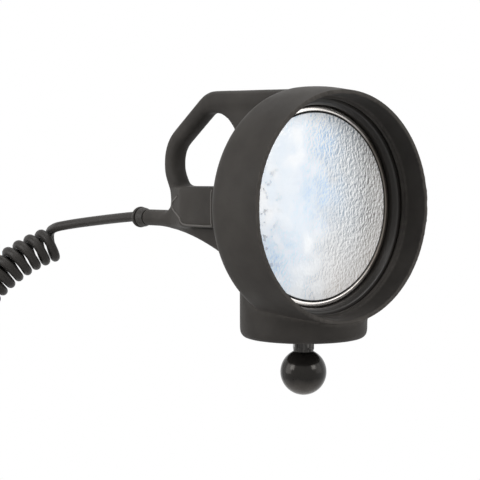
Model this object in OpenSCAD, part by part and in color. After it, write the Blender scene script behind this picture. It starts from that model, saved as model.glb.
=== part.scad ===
// Hand-held spotlight with a moulded rubber housing, a sealed lamp, a ball foot and a curly cord.
// Millimetres. The origin is the centre of the ball, +Z is up and the lamp faces -Y.

/* [Hood] */
// Height of the hood's underside above the centre of the ball
hood_low = 26.2; // [25:0.2:30]
// Distance of the hood's front lip ahead of the ball's axis
hood_front = 35.1; // [34:0.1:36.5]
// Greatest outer radius of the hood
hood_r = 64.8; // [58:0.1:73]
// How much smaller the lip is than the hood, as a radius
lip_draft = 3; // [1:0.1:4]
// Thickness of the rounded lip
lip_t = 2.2; // [1.5:0.1:4]
// Depth at which the hood reaches its greatest radius
hood_flare = 19.1; // [12:0.1:22]
// Depth at which the rear shoulder starts
shoulder_y = 29.2; // [27:0.1:32]
// Radius of the rear shoulder
shoulder_r = 10; // [8:0.5:12]
// Half angle of the rear funnel, in degrees
funnel_angle = 39; // [38:0.5:41]
// Radius of the funnel's rear end
funnel_end_r = 12; // [10:0.5:13]
// Wall of the funnel
funnel_wall = 5; // [4:0.25:6]
// Wall of the hood in front of the lamp
hood_wall = 5.4; // [4.8:0.1:5.8]
// Radius of the bead that keeps the retaining ring in
bead_r = 1.6; // [1.2:0.1:2]
// Depth of the bead
bead_y = 16.1; // [15.6:0.1:16.3]

/* [Lamp] */
// Room round the lamp's rim, up to the hood's inner wall
rim_room = 2.25; // [2:0.05:2.6]
// Depth of the seat behind the rim
seat_y = 28.1; // [27.6:0.1:29.1]
// Thickness of the rim
rim_t = 2.8; // [2.4:0.1:3.2]
// Width of the seat
seat_w = 4.65; // [4.2:0.05:5]
// Width of the bright bezel
bezel_w = 5.85; // [5.6:0.05:6.2]
// Width of the bezel's sloped face
bezel_face = 3.1; // [2.6:0.1:3.3]
// How far the bezel stands in front of the rim
bezel_rise = 1.9; // [1.4:0.1:2.2]
// How far the retaining ring covers the rim
ring_cover = 2.35; // [1.8:0.05:2.4]
// Height of the lens's dome
lens_sag = 3; // [1:0.5:4]
// Thickness of the lens at its edge
lens_t = 3; // [2.4:0.1:3.2]
// Step from the bezel's inner edge to the lamp body's cup
cup_step = 4.8; // [4.4:0.1:6]
// Wall of the lamp body's cup
cup_wall = 1.8; // [1.5:0.1:2.5]
// Depth of the cup's floor
cup_floor_y = 42.7; // [41:0.1:44]
// Room between the lamp's back and the funnel
lamp_room = 3.25; // [2.5:0.25:5]
// Number of cooling fins
fin_count = 20; // [12:1:24]
// Thickness of a cooling fin
fin_t = 2.4; // [1.8:0.1:3]
// Land between neighbouring reflector cups
cup_land = 0.8; // [0.6:0.1:2]
// Edge left outside the outer reflector cups
cup_edge = 2.8; // [2:0.1:4]
// Distance of each terminal from the lamp axis
terminal_x = 8; // [7:0.5:9]

/* [Handle] */
// Width of the handle's bar
bar_w = 12.6; // [11:0.1:14]
// Thickness of the handle's bar
bar_t = 11.6; // [10:0.1:13]
// Corner radius of the handle's bar
bar_round = 4.6; // [3:0.1:4.8]
// Thickness of the web that joins the handle to the funnel
web_t = 9; // [7:0.5:11]
// Radius of the hand opening's front end
opening_r = 24; // [22:0.5:25]

/* [Switch box] */
// Width of the box
box_w = 28; // [27:0.5:31]
// Height of the box
box_h = 25; // [24:0.5:27]
// Height of the box's underside from the lamp axis
box_low = -14.3; // [-15.5:0.1:-13.8]
// Edge radius of the box
box_round = 3; // [2:0.25:4]
// Wall of the box
box_wall = 3.5; // [3:0.25:4]
// Radius of the push button
button_r = 3.5; // [3:0.1:4]
// Travel of the push button
button_travel = 2; // [1:0.25:3]

/* [Cord outlet] */
// Height of the outlet's axis from the lamp axis
outlet_z = -9.5; // [-10:0.1:-9]
// Outer radius of the outlet
outlet_r = 5.3; // [5:0.1:6]
// Radius of the collar
collar_r = 6.8; // [6.2:0.1:7.5]
// Radius of the cord
cord_r = 3.25; // [2.9:0.05:3.3]

/* [Foot] */
// Radius of the foot pad
pad_r = 35; // [32:0.5:38]
// Height of the pad's underside above the centre of the ball
pad_low = 19.2; // [18:0.2:21]
// Radius of the pad's lower edge
pad_round = 4; // [2:0.5:6]
// Radius of the ball
ball_r = 12.7; // [12.5:0.05:13]
// Radius of the stud
stud_r = 3.97; // [3.5:0.01:4.2]
// Width of the neck's hexagon across its flats
neck_flats = 10.6; // [10:0.1:11.5]
// Thickness of the backing plate inside the hood
plate_t = 2; // [1.5:0.25:2.5]

/* [Curly cord] */
// Number of curls
curl_count = 28; // [20:1:30]
// Distance from curl to curl
curl_pitch = 8; // [7.8:0.1:8.4]
// Radius of the curls at the cord's centre
curl_r = 10.25; // [9:0.25:11]

/* [Plug] */
// Radius of the plug's barrel
barrel_r = 10.2; // [9.8:0.1:10.4]
// Length of the plug's barrel
barrel_l = 32; // [30:0.5:36]
// Radius of the plug's grip
grip_r = 12.5; // [12:0.1:14]
// Length of the plug's grip
grip_l = 30; // [28:0.5:36]
// Length of the plug's strain relief
relief_l = 18; // [14:0.5:24]
// Travel of the plug's tip
tip_travel = 2.5; // [1:0.25:3]
// Travel of the plug's side contacts
side_travel = 1; // [0.5:0.1:1.2]

/* [Hidden] */
$fn = 96;

// Gap between fixed pieces that fit into each other
fit_gap = 0.1;
// Gap round a rubber piece or a loose fit
loose_gap = 0.3;
// Radial clearance of sliding pieces
slide_gap = 0.05;
// Overrun of a cut past the face that it opens
cut = 1;

// Radii that follow from the hood's
axis_z = hood_low + hood_r;
lip_r = hood_r - lip_draft;
hood_bore_r = hood_r - hood_wall;
rim_r = hood_bore_r - rim_room;
seat_r = rim_r - seat_w;
bezel_in_r = rim_r - bezel_w;
ring_in_r = rim_r - ring_cover;
cup_r = bezel_in_r - cup_step;

// Funnel: where its line leaves the shoulder, and where it ends
shoulder_end_r = hood_r - shoulder_r + shoulder_r * cos(funnel_angle);
shoulder_end_y = shoulder_y + shoulder_r * sin(funnel_angle);
funnel_end_y = shoulder_end_y + (shoulder_end_r - funnel_end_r) / tan(funnel_angle);
// The cavity's wall lies one wall thickness inside the funnel
cavity_shift = funnel_wall / cos(funnel_angle);
cavity_bend_y = shoulder_end_y + (shoulder_end_r - cavity_shift - seat_r) / tan(funnel_angle);
cavity_end_r = 12;
cavity_end_y = shoulder_end_y + (shoulder_end_r - cavity_shift - cavity_end_r) / tan(funnel_angle);

// Lamp stack, as depths behind the lip
rim_front_y = seat_y - fit_gap - rim_t;
bezel_front_y = rim_front_y - bezel_rise;
lens_r = bezel_in_r - 0.7;
lens_front_y = bezel_front_y + 0.5;
lens_back_y = lens_front_y + lens_t;
body_front_y = lens_back_y + fit_gap;
body_rim_y = seat_y + 2;
ring_front_y = bead_y + bead_r + 0.4;
board_t = 1.6;
board_front_y = cup_floor_y - fit_gap - board_t;
reflector_front_y = body_front_y + 1;
// Five cups lie across the reflector
reflector_r = cup_r - cup_wall - loose_gap;
cup_pitch = (reflector_r + cup_land / 2 - cup_edge) / 2.5;
mouth_r = (cup_pitch - cup_land) / 2;
stem_r = 18;
insulator_r = stem_r + 2;
insulator_t = 3;
lamp_back_r = insulator_r + lamp_room;
lamp_back_y = cavity_end_y - (lamp_back_r - cavity_end_r) / tan(funnel_angle) - insulator_t;
pocket_r = 14.6;
pocket_step_y = lamp_back_y - 18;
screw_head_t = 2.5;
terminal_t = 0.8;

// Handle route in the plane of symmetry, as depth and height from the lamp axis
bar_points = [
  [shoulder_y + 5, hood_r - 6.5], [funnel_end_y + 18.2, hood_r - 3.3], [funnel_end_y + 57.2, 35],
  [funnel_end_y + 57.2, 19.5], [funnel_end_y + 46.2, 0]
];
bar_bends = [0, 14, 18, 14, 0];
bar_steps = 6;
// Hand opening and the web in front of it
opening_y = funnel_end_y + 13.2;
opening_z = 30;
web_front_y = shoulder_y + 8;
web_top = hood_r - 6.8;
web_rear_y = opening_y + 7;
web_low_y = shoulder_y + 31.9;

// Switch box in plan
box_front_y = funnel_end_y - 8.8;
box_bend_y = funnel_end_y + 33.2;
box_rear_y = funnel_end_y + 54.2;
box_rear_w = bar_w;
box_top = box_low + box_h;
box_pocket_y = funnel_end_y + 29.2;
switch_y = funnel_end_y + 8.2;
// The switch lies under the box's roof, with the wires below it
switch_top = box_top - box_wall - 1.95;
switch_low = box_low + 7.05;
switch_z = (switch_top + switch_low) / 2;
switch_h = switch_top - switch_low;
switch_len = 14;
switch_in_x = -1;
bushing_r = 5.9;
nut_t = 2.5;
nut_flats = 16;
button_out = 3;

// Cord outlet
outlet_end_y = funnel_end_y + 88.2;
collar_l = 10;
cord_start_y = outlet_end_y + collar_l;
cable_start_y = switch_y + 9;
ferrule_l = 6;
lead_r = 1.2;

// Foot: heights above the centre of the ball
plate_low = hood_low + 4.8;
pad_top = hood_low + 31.8;
plate_w = 30;
plate_d = 15;
washer_t = 1.6;
washer_r = 6.8;
nut_flats_foot = 12.7;
nut_h_foot = 4.4;
neck_ring_r = 5.6;
neck_ring_t = 2.4;
ball_flat = sqrt(ball_r * ball_r - neck_ring_r * neck_ring_r);
ball_bore_low = -4;

// Curls: the lead runs into the first one near its top, and their axis slopes, bends down and hangs
curl_top = [-11, cord_start_y + 93.5, -20];
curl_heading = 164;
curl_dip = 18;
curl_run = 5;
curl_bend_r = 100;
curl_phase = 7;
curl_ramp = 24;
curl_steps = 10;
curl_straight = 2 * cord_r;
curl_length = curl_count * curl_pitch + curl_ramp + curl_straight;
curl_bend_l = curl_bend_r * (90 - curl_dip) * PI / 180;
tail_l = 6;

// Free cord from the collar to the curls: points from the lip and the lamp axis, straight at both ends
curl_way = curl_axis(1) + 2 * PI * curl_r / curl_pitch
  * (cos(curl_phase) * curl_side() - sin(curl_phase) * curl_up(0));
lead_points = [
  [0, cord_start_y, outlet_z], [0, cord_start_y + 2 * cord_r, outlet_z], [-2.8, cord_start_y + 33.5, -11.9],
  [-7.8, cord_start_y + 63.5, -15.2], curl_top - 2 * curl_straight * unit(curl_way),
  curl_top - curl_straight * unit(curl_way)
];

// Plug, as distances below the end of the tail
grip_top = relief_l;
barrel_top = grip_top + grip_l;
nose_top = barrel_top + barrel_l;
nose_l = 6;
tip_r = 4;
tip_out = 7;
fuse_r = 3.2;
fuse_l = 31.8;
spring_l = 9;
spring_wire = 0.4;
spring_turns = 5;
side_w = 6;
side_l = 12;
side_top = barrel_top + 5;
side_out = 1.2;
side_depth = 5;
// The land in front of the side contacts guides the plug in its socket
land_top = side_top + side_l + 1;
land_step = 0.4;

// Places a child that is drawn from the lip and the lamp axis
module from_lip() {
  translate([0, -hood_front, axis_z]) children();
}

// Revolves a profile of radius and depth about the lamp axis
module turned() {
  rotate([-90, 0, 0]) rotate_extrude() children();
}

// Revolves a profile of radius and depth about the outlet's axis
module turned_outlet() {
  translate([0, 0, outlet_z]) turned() children();
}

// Extrudes a side view of depth and height, centred on the plane of symmetry
module side_plate(width) {
  rotate([90, 0, 90]) linear_extrude(width, center = true) children();
}

module ring_profile(in_r, out_r, from, to) {
  translate([in_r, from]) square([out_r - in_r, to - from]);
}

module rounded_rect(w, h, r) {
  square([w - 2 * r, h], center = true);
  square([w, h - 2 * r], center = true);
  for (sx = [-1, 1])
    for (sy = [-1, 1])
      translate([sx * (w / 2 - r), sy * (h / 2 - r)]) circle(r);
}

module hexagon(flats, height) {
  cylinder(r = flats / 2 / cos(30), h = height, $fn = 6);
}

// Sweep of a round tube along points
function unit(v) = v / norm(v);
function tangent(p, i) =
  i == 0 ? unit(p[1] - p[0])
  : i == len(p) - 1 ? unit(p[i] - p[i - 1])
  : unit(unit(p[i + 1] - p[i]) + unit(p[i] - p[i - 1]));
function carried(v, t) = unit(v - (v * t) * t);
function frames(p, v, i = 0, out = []) =
  i == len(p) ? out
  : let (t = tangent(p, i), u = carried(v, t)) frames(p, u, i + 1, concat(out, [[u, cross(t, u)]]));

// Closed skin over rings of equally many points
module loft(rings) {
  n = len(rings);
  sides = len(rings[0]);
  skin_a = [for (i = [0 : n - 2]) for (k = [0 : sides - 1])
    [i * sides + k, (i + 1) * sides + k, i * sides + (k + 1) % sides]];
  skin_b = [for (i = [0 : n - 2]) for (k = [0 : sides - 1])
    [i * sides + (k + 1) % sides, (i + 1) * sides + k, (i + 1) * sides + (k + 1) % sides]];
  cap_a = [for (k = [1 : sides - 2]) [0, k, k + 1]];
  cap_b = [for (k = [1 : sides - 2]) [(n - 1) * sides, (n - 1) * sides + k + 1, (n - 1) * sides + k]];
  polyhedron(points = [for (ring = rings) for (q = ring) q], faces = concat(skin_a, skin_b, cap_a, cap_b));
}

module tube(p, r, sides, start = [0, 0, 1]) {
  f = frames(p, start);
  n = len(p);
  loft([for (i = [0 : n - 1]) [for (k = [0 : sides - 1])
    let (a = 360 * k / sides) p[i] + r * (cos(a) * f[i][0] + sin(a) * f[i][1])]]);
}

// Smooth route through hand-set points, with a few steps between each pair and both ends straight
function spline_at(a, b, c, d, t) =
  0.5 * (2 * b + (c - a) * t + (2 * a - 5 * b + 4 * c - d) * t * t + (3 * b - a - 3 * c + d) * t * t * t);
function smooth(p, steps) =
  concat([p[0]], [for (i = [1 : len(p) - 3]) for (k = [0 : steps - 1])
    spline_at(p[i - 1], p[i], p[i + 1], p[i + 2], k / steps)], [p[len(p) - 2], p[len(p) - 1]]);

// Heading in degrees of each straight run of the handle's route
function run_angle(i) = let (d = bar_points[i + 1] - bar_points[i]) atan2(d[1], d[0]);
function bend_trim(i) =
  bar_bends[i] == 0 ? 0 : bar_bends[i] * tan((run_angle(i - 1) - run_angle(i)) / 2);

// Stations along a bend: place and heading
function bend_stations(i, steps) =
  let (a0 = run_angle(i - 1), a1 = run_angle(i), r = bar_bends[i],
    leave = bar_points[i] + bend_trim(i) * [cos(a1), sin(a1)],
    centre = leave + r * [sin(a1), -cos(a1)])
  [for (k = [0 : steps]) let (a = a0 + (a1 - a0) * k / steps) [centre + r * [-sin(a), cos(a)], a]];
bar_last = len(bar_points) - 1;
bar_stations = concat(
  [[bar_points[0], run_angle(0)]],
  [for (i = [1 : bar_last - 1]) for (s = bend_stations(i, bar_steps)) s],
  [[bar_points[bar_last], run_angle(bar_last - 1)]]
);

// Rounded rectangle as points
function round_corners(w, h, r, steps) =
  [for (c = [0 : 3]) for (k = [0 : steps])
    let (a = 90 * (c + k / steps), sx = c == 0 || c == 3 ? 1 : -1, sy = c < 2 ? 1 : -1)
    [sx * (w / 2 - r) + r * cos(a), sy * (h / 2 - r) + r * sin(a)]];

// Handle bar: straight runs joined by round bends
module handle_bar() {
  outline = round_corners(bar_w, bar_t, bar_round, 4);
  loft([for (s = bar_stations) [for (q = outline)
    [-q[0], s[0][0] - q[1] * sin(s[1]), s[0][1] + q[1] * cos(s[1])]]]);
}

// Web between the handle's upper arm, the funnel and the box
module handle_web() {
  side_plate(web_t)
    difference() {
      polygon([
        [web_front_y, opening_z], [web_front_y, web_top], [web_rear_y, web_top], [web_rear_y, box_low + 4],
        [web_low_y, box_low + 4]
      ]);
      translate([opening_y, opening_z]) circle(opening_r);
      translate([opening_y, opening_z - opening_r]) square([opening_r, 2 * opening_r]);
    }
}

// Outside of the hood, its shoulder and the funnel
module hood_solid() {
  shoulder_steps = 4;
  shoulder = [for (k = [0 : shoulder_steps])
    let (a = funnel_angle * k / shoulder_steps)
    [hood_r - shoulder_r + shoulder_r * cos(a), shoulder_y + shoulder_r * sin(a)]];
  turned() {
    translate([lip_r - lip_t / 2, lip_t / 2]) circle(lip_t / 2);
    polygon(concat(
      [[0, lip_t / 2], [lip_r, lip_t / 2], [hood_r, hood_flare]],
      shoulder,
      [[funnel_end_r, funnel_end_y], [0, funnel_end_y]]
    ));
  }
}

// Inside of the hood: mouth, bead, ring groove, rim groove, seat and cavity
module hood_cavity() {
  lip_in_r = lip_r - lip_t;
  turned()
    difference() {
      polygon([
        [0, -cut], [lip_in_r, -cut], [lip_in_r, lip_t / 2], [hood_bore_r, lip_t + 1],
        [hood_bore_r, rim_front_y - fit_gap], [rim_r + loose_gap, rim_front_y - fit_gap],
        [rim_r + loose_gap, seat_y], [seat_r, seat_y], [seat_r, cavity_bend_y],
        [cavity_end_r, cavity_end_y], [0, cavity_end_y]
      ]);
      translate([hood_bore_r, bead_y]) circle(bead_r);
    }
}

module foot_pad() {
  translate([0, hood_front, pad_low - axis_z])
    rotate_extrude() {
      translate([0, pad_round]) square([pad_r, pad_top - pad_low - pad_round]);
      square([pad_r - pad_round, pad_round]);
      intersection() {
        translate([pad_r - pad_round, pad_round]) circle(pad_round);
        square([pad_r, pad_round]);
      }
    }
}

// Plan of the switch box, which narrows to the cord outlet
module box_plan() {
  polygon([
    [-box_w / 2, box_front_y], [box_w / 2, box_front_y], [box_w / 2, box_bend_y],
    [box_rear_w / 2, box_rear_y], [-box_rear_w / 2, box_rear_y], [-box_w / 2, box_bend_y]
  ]);
}

module switch_box() {
  intersection() {
    translate([0, 0, box_low]) linear_extrude(box_h) box_plan();
    translate([0, box_front_y, box_low + box_h / 2]) rotate([-90, 0, 0])
      linear_extrude(box_rear_y - box_front_y) rounded_rect(box_w, box_h, box_round);
  }
}

// Cord outlet and the keel that carries it back to the pad
module outlet_and_keel() {
  keel_w = 12;
  keel_r = 220;
  keel_drop = 60;
  keel_front_y = funnel_end_y - 30.8;
  keel_rear_y = funnel_end_y + 71.2;
  keel_end_y = funnel_end_y + 84.2;
  keel_end_r = outlet_r - 0.3;
  turned_outlet() square([outlet_r, outlet_end_y]);
  intersection() {
    turned_outlet()
      difference() {
        translate([0, keel_front_y]) square([keel_drop, keel_rear_y - keel_front_y]);
        translate([keel_end_r + keel_r, keel_end_y]) circle(keel_r, $fn = 720);
      }
    translate([-keel_w / 2, keel_front_y - cut, outlet_z - keel_drop])
      cube([keel_w, keel_rear_y - keel_front_y + 2 * cut, keel_drop + 2]);
  }
}

// Room inside the box for the switch, the wires and the cable
module box_pocket() {
  half = box_w / 2 - box_wall;
  translate([-half, cavity_end_y - 3, box_low + 1.1])
    cube([2 * half, box_pocket_y - cavity_end_y + 3, box_h - box_wall - 1.1]);
  translate([half - cut, switch_y, switch_z]) rotate([0, 90, 0])
    cylinder(r = bushing_r + fit_gap, h = box_wall + 2 * cut);
  turned_outlet() square_from(cord_r + fit_gap, box_pocket_y - cut, outlet_end_y + cut);
}

// Room inside the hood for the backing plate, the washer and the nut
module foot_pocket() {
  translate([-plate_w / 2 - 1, hood_front - plate_d / 2 - 0.7, plate_low - axis_z])
    cube([plate_w + 2, plate_d + 1.4, 16]);
  translate([0, hood_front, pad_low - axis_z - cut])
    cylinder(r = stud_r + loose_gap, h = plate_low - pad_low + 2 * cut);
}

module housing() {
  color("#3a3633") from_lip()
    difference() {
      union() {
        hood_solid();
        foot_pad();
        handle_bar();
        handle_web();
        switch_box();
        outlet_and_keel();
      }
      hood_cavity();
      box_pocket();
      foot_pocket();
    }
}

module retaining_ring() {
  back = rim_front_y - fit_gap;
  color("#26231f") from_lip() turned()
    polygon([
      [ring_in_r, ring_front_y + 3], [ring_in_r + 1.4, ring_front_y],
      [hood_bore_r - loose_gap, ring_front_y], [hood_bore_r - loose_gap, back], [ring_in_r, back]
    ]);
}

module lamp_bezel() {
  color("#e6e8ea") from_lip() turned()
    polygon([
      [bezel_in_r, bezel_front_y + 0.4], [bezel_in_r + 0.5, bezel_front_y],
      [bezel_in_r + bezel_face, rim_front_y], [rim_r, rim_front_y], [rim_r, rim_front_y + rim_t],
      [bezel_in_r, rim_front_y + rim_t]
    ]);
}

module lens() {
  dome_r = (lens_r * lens_r + lens_sag * lens_sag) / (2 * lens_sag);
  color("#eef3f8", 0.6) from_lip() turned()
    intersection() {
      translate([0, lens_front_y - lens_sag + dome_r]) circle(dome_r, $fn = 1440);
      square_from(lens_r, lens_front_y - lens_sag - cut, lens_back_y);
    }
}

module square_from(r, from, to) {
  translate([0, from]) square([r, to - from]);
}

module lens_gasket() {
  color("#1c1c1c") from_lip() turned()
    ring_profile(lens_r + slide_gap, bezel_in_r - slide_gap, lens_front_y - 0.2, lens_front_y + 1.6);
}

// Finned die-cast body: cup for the reflectors, stem for the driver, fins between
module lamp_body() {
  rim_out_r = bezel_in_r - 2 * slide_gap;
  floor_t = 4;
  color("#8d9296") from_lip() {
    turned() {
      ring_profile(cup_r - cup_wall, rim_out_r, body_front_y, body_rim_y);
      ring_profile(cup_r - cup_wall, cup_r, body_front_y, cup_floor_y + floor_t);
      square_from(cup_r, cup_floor_y, cup_floor_y + floor_t);
      ring_profile(pocket_r - 1.6, stem_r, cup_floor_y, pocket_step_y);
      ring_profile(pocket_r, stem_r, cup_floor_y, lamp_back_y);
    }
    for (i = [0 : fin_count - 1])
      rotate([0, i * 360 / fin_count, 0])
        side_plate(fin_t)
          polygon([
            [cup_floor_y + 1, stem_r - 1], [cup_floor_y + 1, cup_r], [cup_floor_y + floor_t, cup_r - 1],
            [lamp_back_y, insulator_r], [lamp_back_y, stem_r - 1]
          ]);
  }
}

// Places of the reflector cups: one, six and twelve on a triangular grid
cup_places = [for (a = [-2 : 2]) for (b = [-2 : 2])
  if (abs(a + b) <= 2) [cup_pitch * (a + b / 2), cup_pitch * b * sin(60)]];

module at_cups() {
  for (p = cup_places)
    translate([p[0], 0, p[1]]) children();
}

module reflector_array() {
  back = board_front_y - fit_gap;
  small_r = 3.2;
  color("#dfe5ec") from_lip()
    difference() {
      turned() square_from(reflector_r, reflector_front_y, back);
      at_cups() turned()
        polygon([
          [0, reflector_front_y - cut], [mouth_r, reflector_front_y - cut], [mouth_r, reflector_front_y],
          [small_r, back], [small_r, back + cut], [0, back + cut]
        ]);
      for (p = board_screw_places)
        translate([p[0], 0, p[1]]) turned() square_from(3.3, back - 2.6, back + cut);
    }
}

board_screw_r = reflector_r - 5.4;
board_screw_places = [for (i = [0 : 2])
  [board_screw_r * cos(i * 120 + 30), board_screw_r * sin(i * 120 + 30)]];

module led_board() {
  color("#f4f4ee") from_lip()
    difference() {
      turned() square_from(reflector_r, board_front_y, board_front_y + board_t);
      for (p = board_screw_places)
        translate([p[0], 0, p[1]]) turned() square_from(1.6, board_front_y - cut, cup_floor_y);
    }
}

module leds() {
  led_w = 3.5;
  led_t = 1.2;
  color("#f7e79a") from_lip()
    at_cups() translate([-led_w / 2, board_front_y - led_t, -led_w / 2]) cube([led_w, led_t, led_w]);
}

module board_screws() {
  head_t = 1.8;
  color("#b9bcc0") from_lip()
    for (p = board_screw_places)
      translate([p[0], 0, p[1]]) turned() {
        square_from(2.6, board_front_y - head_t, board_front_y);
        square_from(1.5, board_front_y - head_t, cup_floor_y - fit_gap);
      }
}

module driver_board() {
  color("#2f6b45") from_lip() turned()
    square_from(pocket_r - loose_gap, pocket_step_y + slide_gap, pocket_step_y + board_t);
}

module driver_parts() {
  from = pocket_step_y + board_t;
  color("#30343a") from_lip() {
    translate([-6, 0, 0]) turned() square_from(4, from, from + 10);
    translate([5.5, 0, 4]) turned() square_from(5, from, from + 6);
    translate([2.5, from, -10]) cube([7, 3, 7]);
  }
}

module at_terminals() {
  for (s = [-1, 1])
    translate([s * terminal_x, 0, 0]) children();
}

module rear_insulator() {
  color("#222222") from_lip()
    difference() {
      turned() {
        square_from(insulator_r, lamp_back_y, lamp_back_y + insulator_t);
        square_from(pocket_r - fit_gap, lamp_back_y - 4, lamp_back_y);
      }
      at_terminals() turned() square_from(2 + fit_gap, lamp_back_y - 4 - cut, lamp_back_y + 4);
    }
}

module terminal_screws() {
  back = lamp_back_y + insulator_t + terminal_t;
  color("#c9a552") from_lip()
    at_terminals() turned() {
      square_from(2, lamp_back_y - 5, back);
      square_from(3.4, back, back + screw_head_t);
    }
}

module ring_terminals() {
  from = lamp_back_y + insulator_t;
  color("#c8ccd0") from_lip()
    at_terminals() {
      difference() {
        union() {
          turned() square_from(4.2, from, from + terminal_t);
          translate([-1.8, from, -9]) cube([3.6, terminal_t, 8]);
          translate([0, from + lead_r + 0.4, -9]) cylinder(r = lead_r + 0.4, h = 4);
        }
        turned() square_from(2 + fit_gap, from - cut, from + terminal_t + cut);
      }
    }
}

// The two lamp wires leave their ring terminals downwards and run back into the box
terminal_y = lamp_back_y + insulator_t + lead_r + 0.4;

module lead_lamp() {
  p = [
    [terminal_x, terminal_y, -9], [terminal_x, terminal_y, -10.5], [terminal_x - 1.5, terminal_y + 4, -11],
    [4.5, switch_y - 19, -5], [4, switch_y - 13, -2], [4, switch_y - switch_len / 2 - 3, -2],
    [4, switch_y - switch_len / 2, -2]
  ];
  color("#a3221c") from_lip() tube(smooth(p, 3), lead_r, 8, [1, 0, 0]);
}

module lead_return() {
  p = [
    [-terminal_x, terminal_y, -9], [-terminal_x, terminal_y, -10.5],
    [-terminal_x + 1, terminal_y + 4, -11.5], [-6, switch_y - 19, -8], [-6.5, switch_y - 11, -9],
    [-5, switch_y - 1, -9.4], [-1.4, cable_start_y - 3, outlet_z], [-1.4, cable_start_y, outlet_z]
  ];
  color("#1d1d1f") from_lip() tube(smooth(p, 3), lead_r, 8, [1, 0, 0]);
}

module lead_switch() {
  p = [
    [1.4, switch_y + 2, switch_low], [1.4, switch_y + 2, switch_low - 0.9], [1.4, switch_y + 4, outlet_z],
    [1.4, cable_start_y - 2, outlet_z], [1.4, cable_start_y, outlet_z]
  ];
  color("#a3221c") from_lip() tube(smooth(p, 3), lead_r, 8, [1, 0, 0]);
}

// Switch: body and threaded bushing, nut and sprung button on the box's right face
switch_face_x = box_w / 2;
bushing_end_x = switch_face_x + nut_t + 1;
button_in_x = switch_face_x - box_wall - 3;

module along_x(from, to, r) {
  translate([from, switch_y, switch_z]) rotate([0, 90, 0]) cylinder(r = r, h = to - from);
}

module switch_body() {
  wall_x = box_w / 2 - box_wall;
  color("#20242a") from_lip()
    difference() {
      union() {
        translate([switch_in_x, switch_y - switch_len / 2, switch_low])
          cube([wall_x - fit_gap - switch_in_x, switch_len, switch_h]);
        along_x(wall_x - 1, bushing_end_x, bushing_r);
      }
      along_x(button_in_x - button_travel - 1, bushing_end_x + cut, button_r + slide_gap);
    }
}

module switch_nut() {
  color("#aeb2b6") from_lip()
    difference() {
      translate([switch_face_x, switch_y, switch_z]) rotate([0, 90, 0]) hexagon(nut_flats, nut_t);
      along_x(switch_face_x - cut, switch_face_x + nut_t + cut, bushing_r + fit_gap);
    }
}

module switch_button() {
  color("#141414") from_lip() along_x(button_in_x, bushing_end_x + button_out, button_r);
}

// Foot hardware, drawn from the centre of the ball
module foot_plate() {
  color("#b4b8bb")
    difference() {
      translate([-plate_w / 2, -plate_d / 2, plate_low]) cube([plate_w, plate_d, plate_t]);
      translate([0, 0, plate_low - cut]) cylinder(r = stud_r + fit_gap, h = plate_t + 2 * cut);
    }
}

module foot_washer() {
  from = plate_low + plate_t;
  color("#c3c7ca")
    difference() {
      translate([0, 0, from]) cylinder(r = washer_r, h = washer_t);
      translate([0, 0, from - cut]) cylinder(r = stud_r + fit_gap, h = washer_t + 2 * cut);
    }
}

module foot_nut() {
  from = plate_low + plate_t + washer_t;
  color("#b9bdc0")
    difference() {
      translate([0, 0, from]) hexagon(nut_flats_foot, nut_h_foot);
      translate([0, 0, from - cut]) cylinder(r = stud_r + fit_gap, h = nut_h_foot + 2 * cut);
    }
}

module ball_stud() {
  top = plate_low + plate_t + washer_t + nut_h_foot + 1;
  color("#d8dcdf") {
    translate([0, 0, ball_bore_low]) cylinder(r = stud_r, h = top - ball_bore_low);
    translate([0, 0, ball_flat]) cylinder(r = neck_ring_r, h = neck_ring_t);
    translate([0, 0, ball_flat + neck_ring_t / 2]) hexagon(neck_flats, pad_low - ball_flat - neck_ring_t / 2);
  }
}

module ball() {
  color("#101011")
    difference() {
      sphere(ball_r);
      translate([-ball_r, -ball_r, ball_flat]) cube([2 * ball_r, 2 * ball_r, ball_r]);
      translate([0, 0, ball_bore_low - fit_gap]) cylinder(r = stud_r + slide_gap, h = ball_r + 10);
    }
}

// Cord outlet: collar round the cable, the cable's inner stretch and its crimped ferrule
module cord_collar() {
  bore = cord_r + fit_gap;
  color("#191919") from_lip() turned_outlet() translate([0, outlet_end_y])
    polygon([
      [bore, 0], [outlet_r + 0.6, 0], [collar_r, 1.2], [collar_r, collar_l - 6],
      [collar_r - 0.5, collar_l - 4.4], [collar_r - 1.4, collar_l - 2.7],
      [collar_r - 2.5, collar_l - 1.1], [collar_r - 3.1, collar_l],
      [bore, collar_l]
    ]);
}

module cable_inner() {
  color("#171717") from_lip() turned_outlet() square_from(cord_r, cable_start_y, cord_start_y);
}

module cable_ferrule() {
  color("#c2c6c9") from_lip() turned_outlet()
    ring_profile(cord_r + slide_gap, cord_r + 0.4, cable_start_y + 3, cable_start_y + 3 + ferrule_l);
}

module cord_lead() {
  color("#171717") from_lip() tube(smooth(lead_points, 4), cord_r, 10);
}

// Axis of the curls: a sloping run, a round bend downwards and a hanging run
function curl_flat(d) = [d * cos(curl_heading), d * sin(curl_heading), 0];
function curl_tilt(s) =
  s < curl_run ? curl_dip
  : s < curl_run + curl_bend_l ? curl_dip + (s - curl_run) / curl_bend_r * 180 / PI
  : 90;
function curl_reach(s) =
  s < curl_run ? s * cos(curl_dip)
  : curl_run * cos(curl_dip) + curl_bend_r * (sin(curl_tilt(s)) - sin(curl_dip));
function curl_drop(s) =
  s < curl_run ? s * sin(curl_dip)
  : curl_run * sin(curl_dip) + curl_bend_r * (cos(curl_dip) - cos(curl_tilt(s)))
    + max(0, s - curl_run - curl_bend_l);
function curl_axis(s) = curl_flat(curl_reach(s)) - [0, 0, curl_drop(s)];
function curl_up(s) = curl_flat(sin(curl_tilt(s))) + [0, 0, cos(curl_tilt(s))];
function curl_side() = [sin(curl_heading), -cos(curl_heading), 0];

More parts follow.
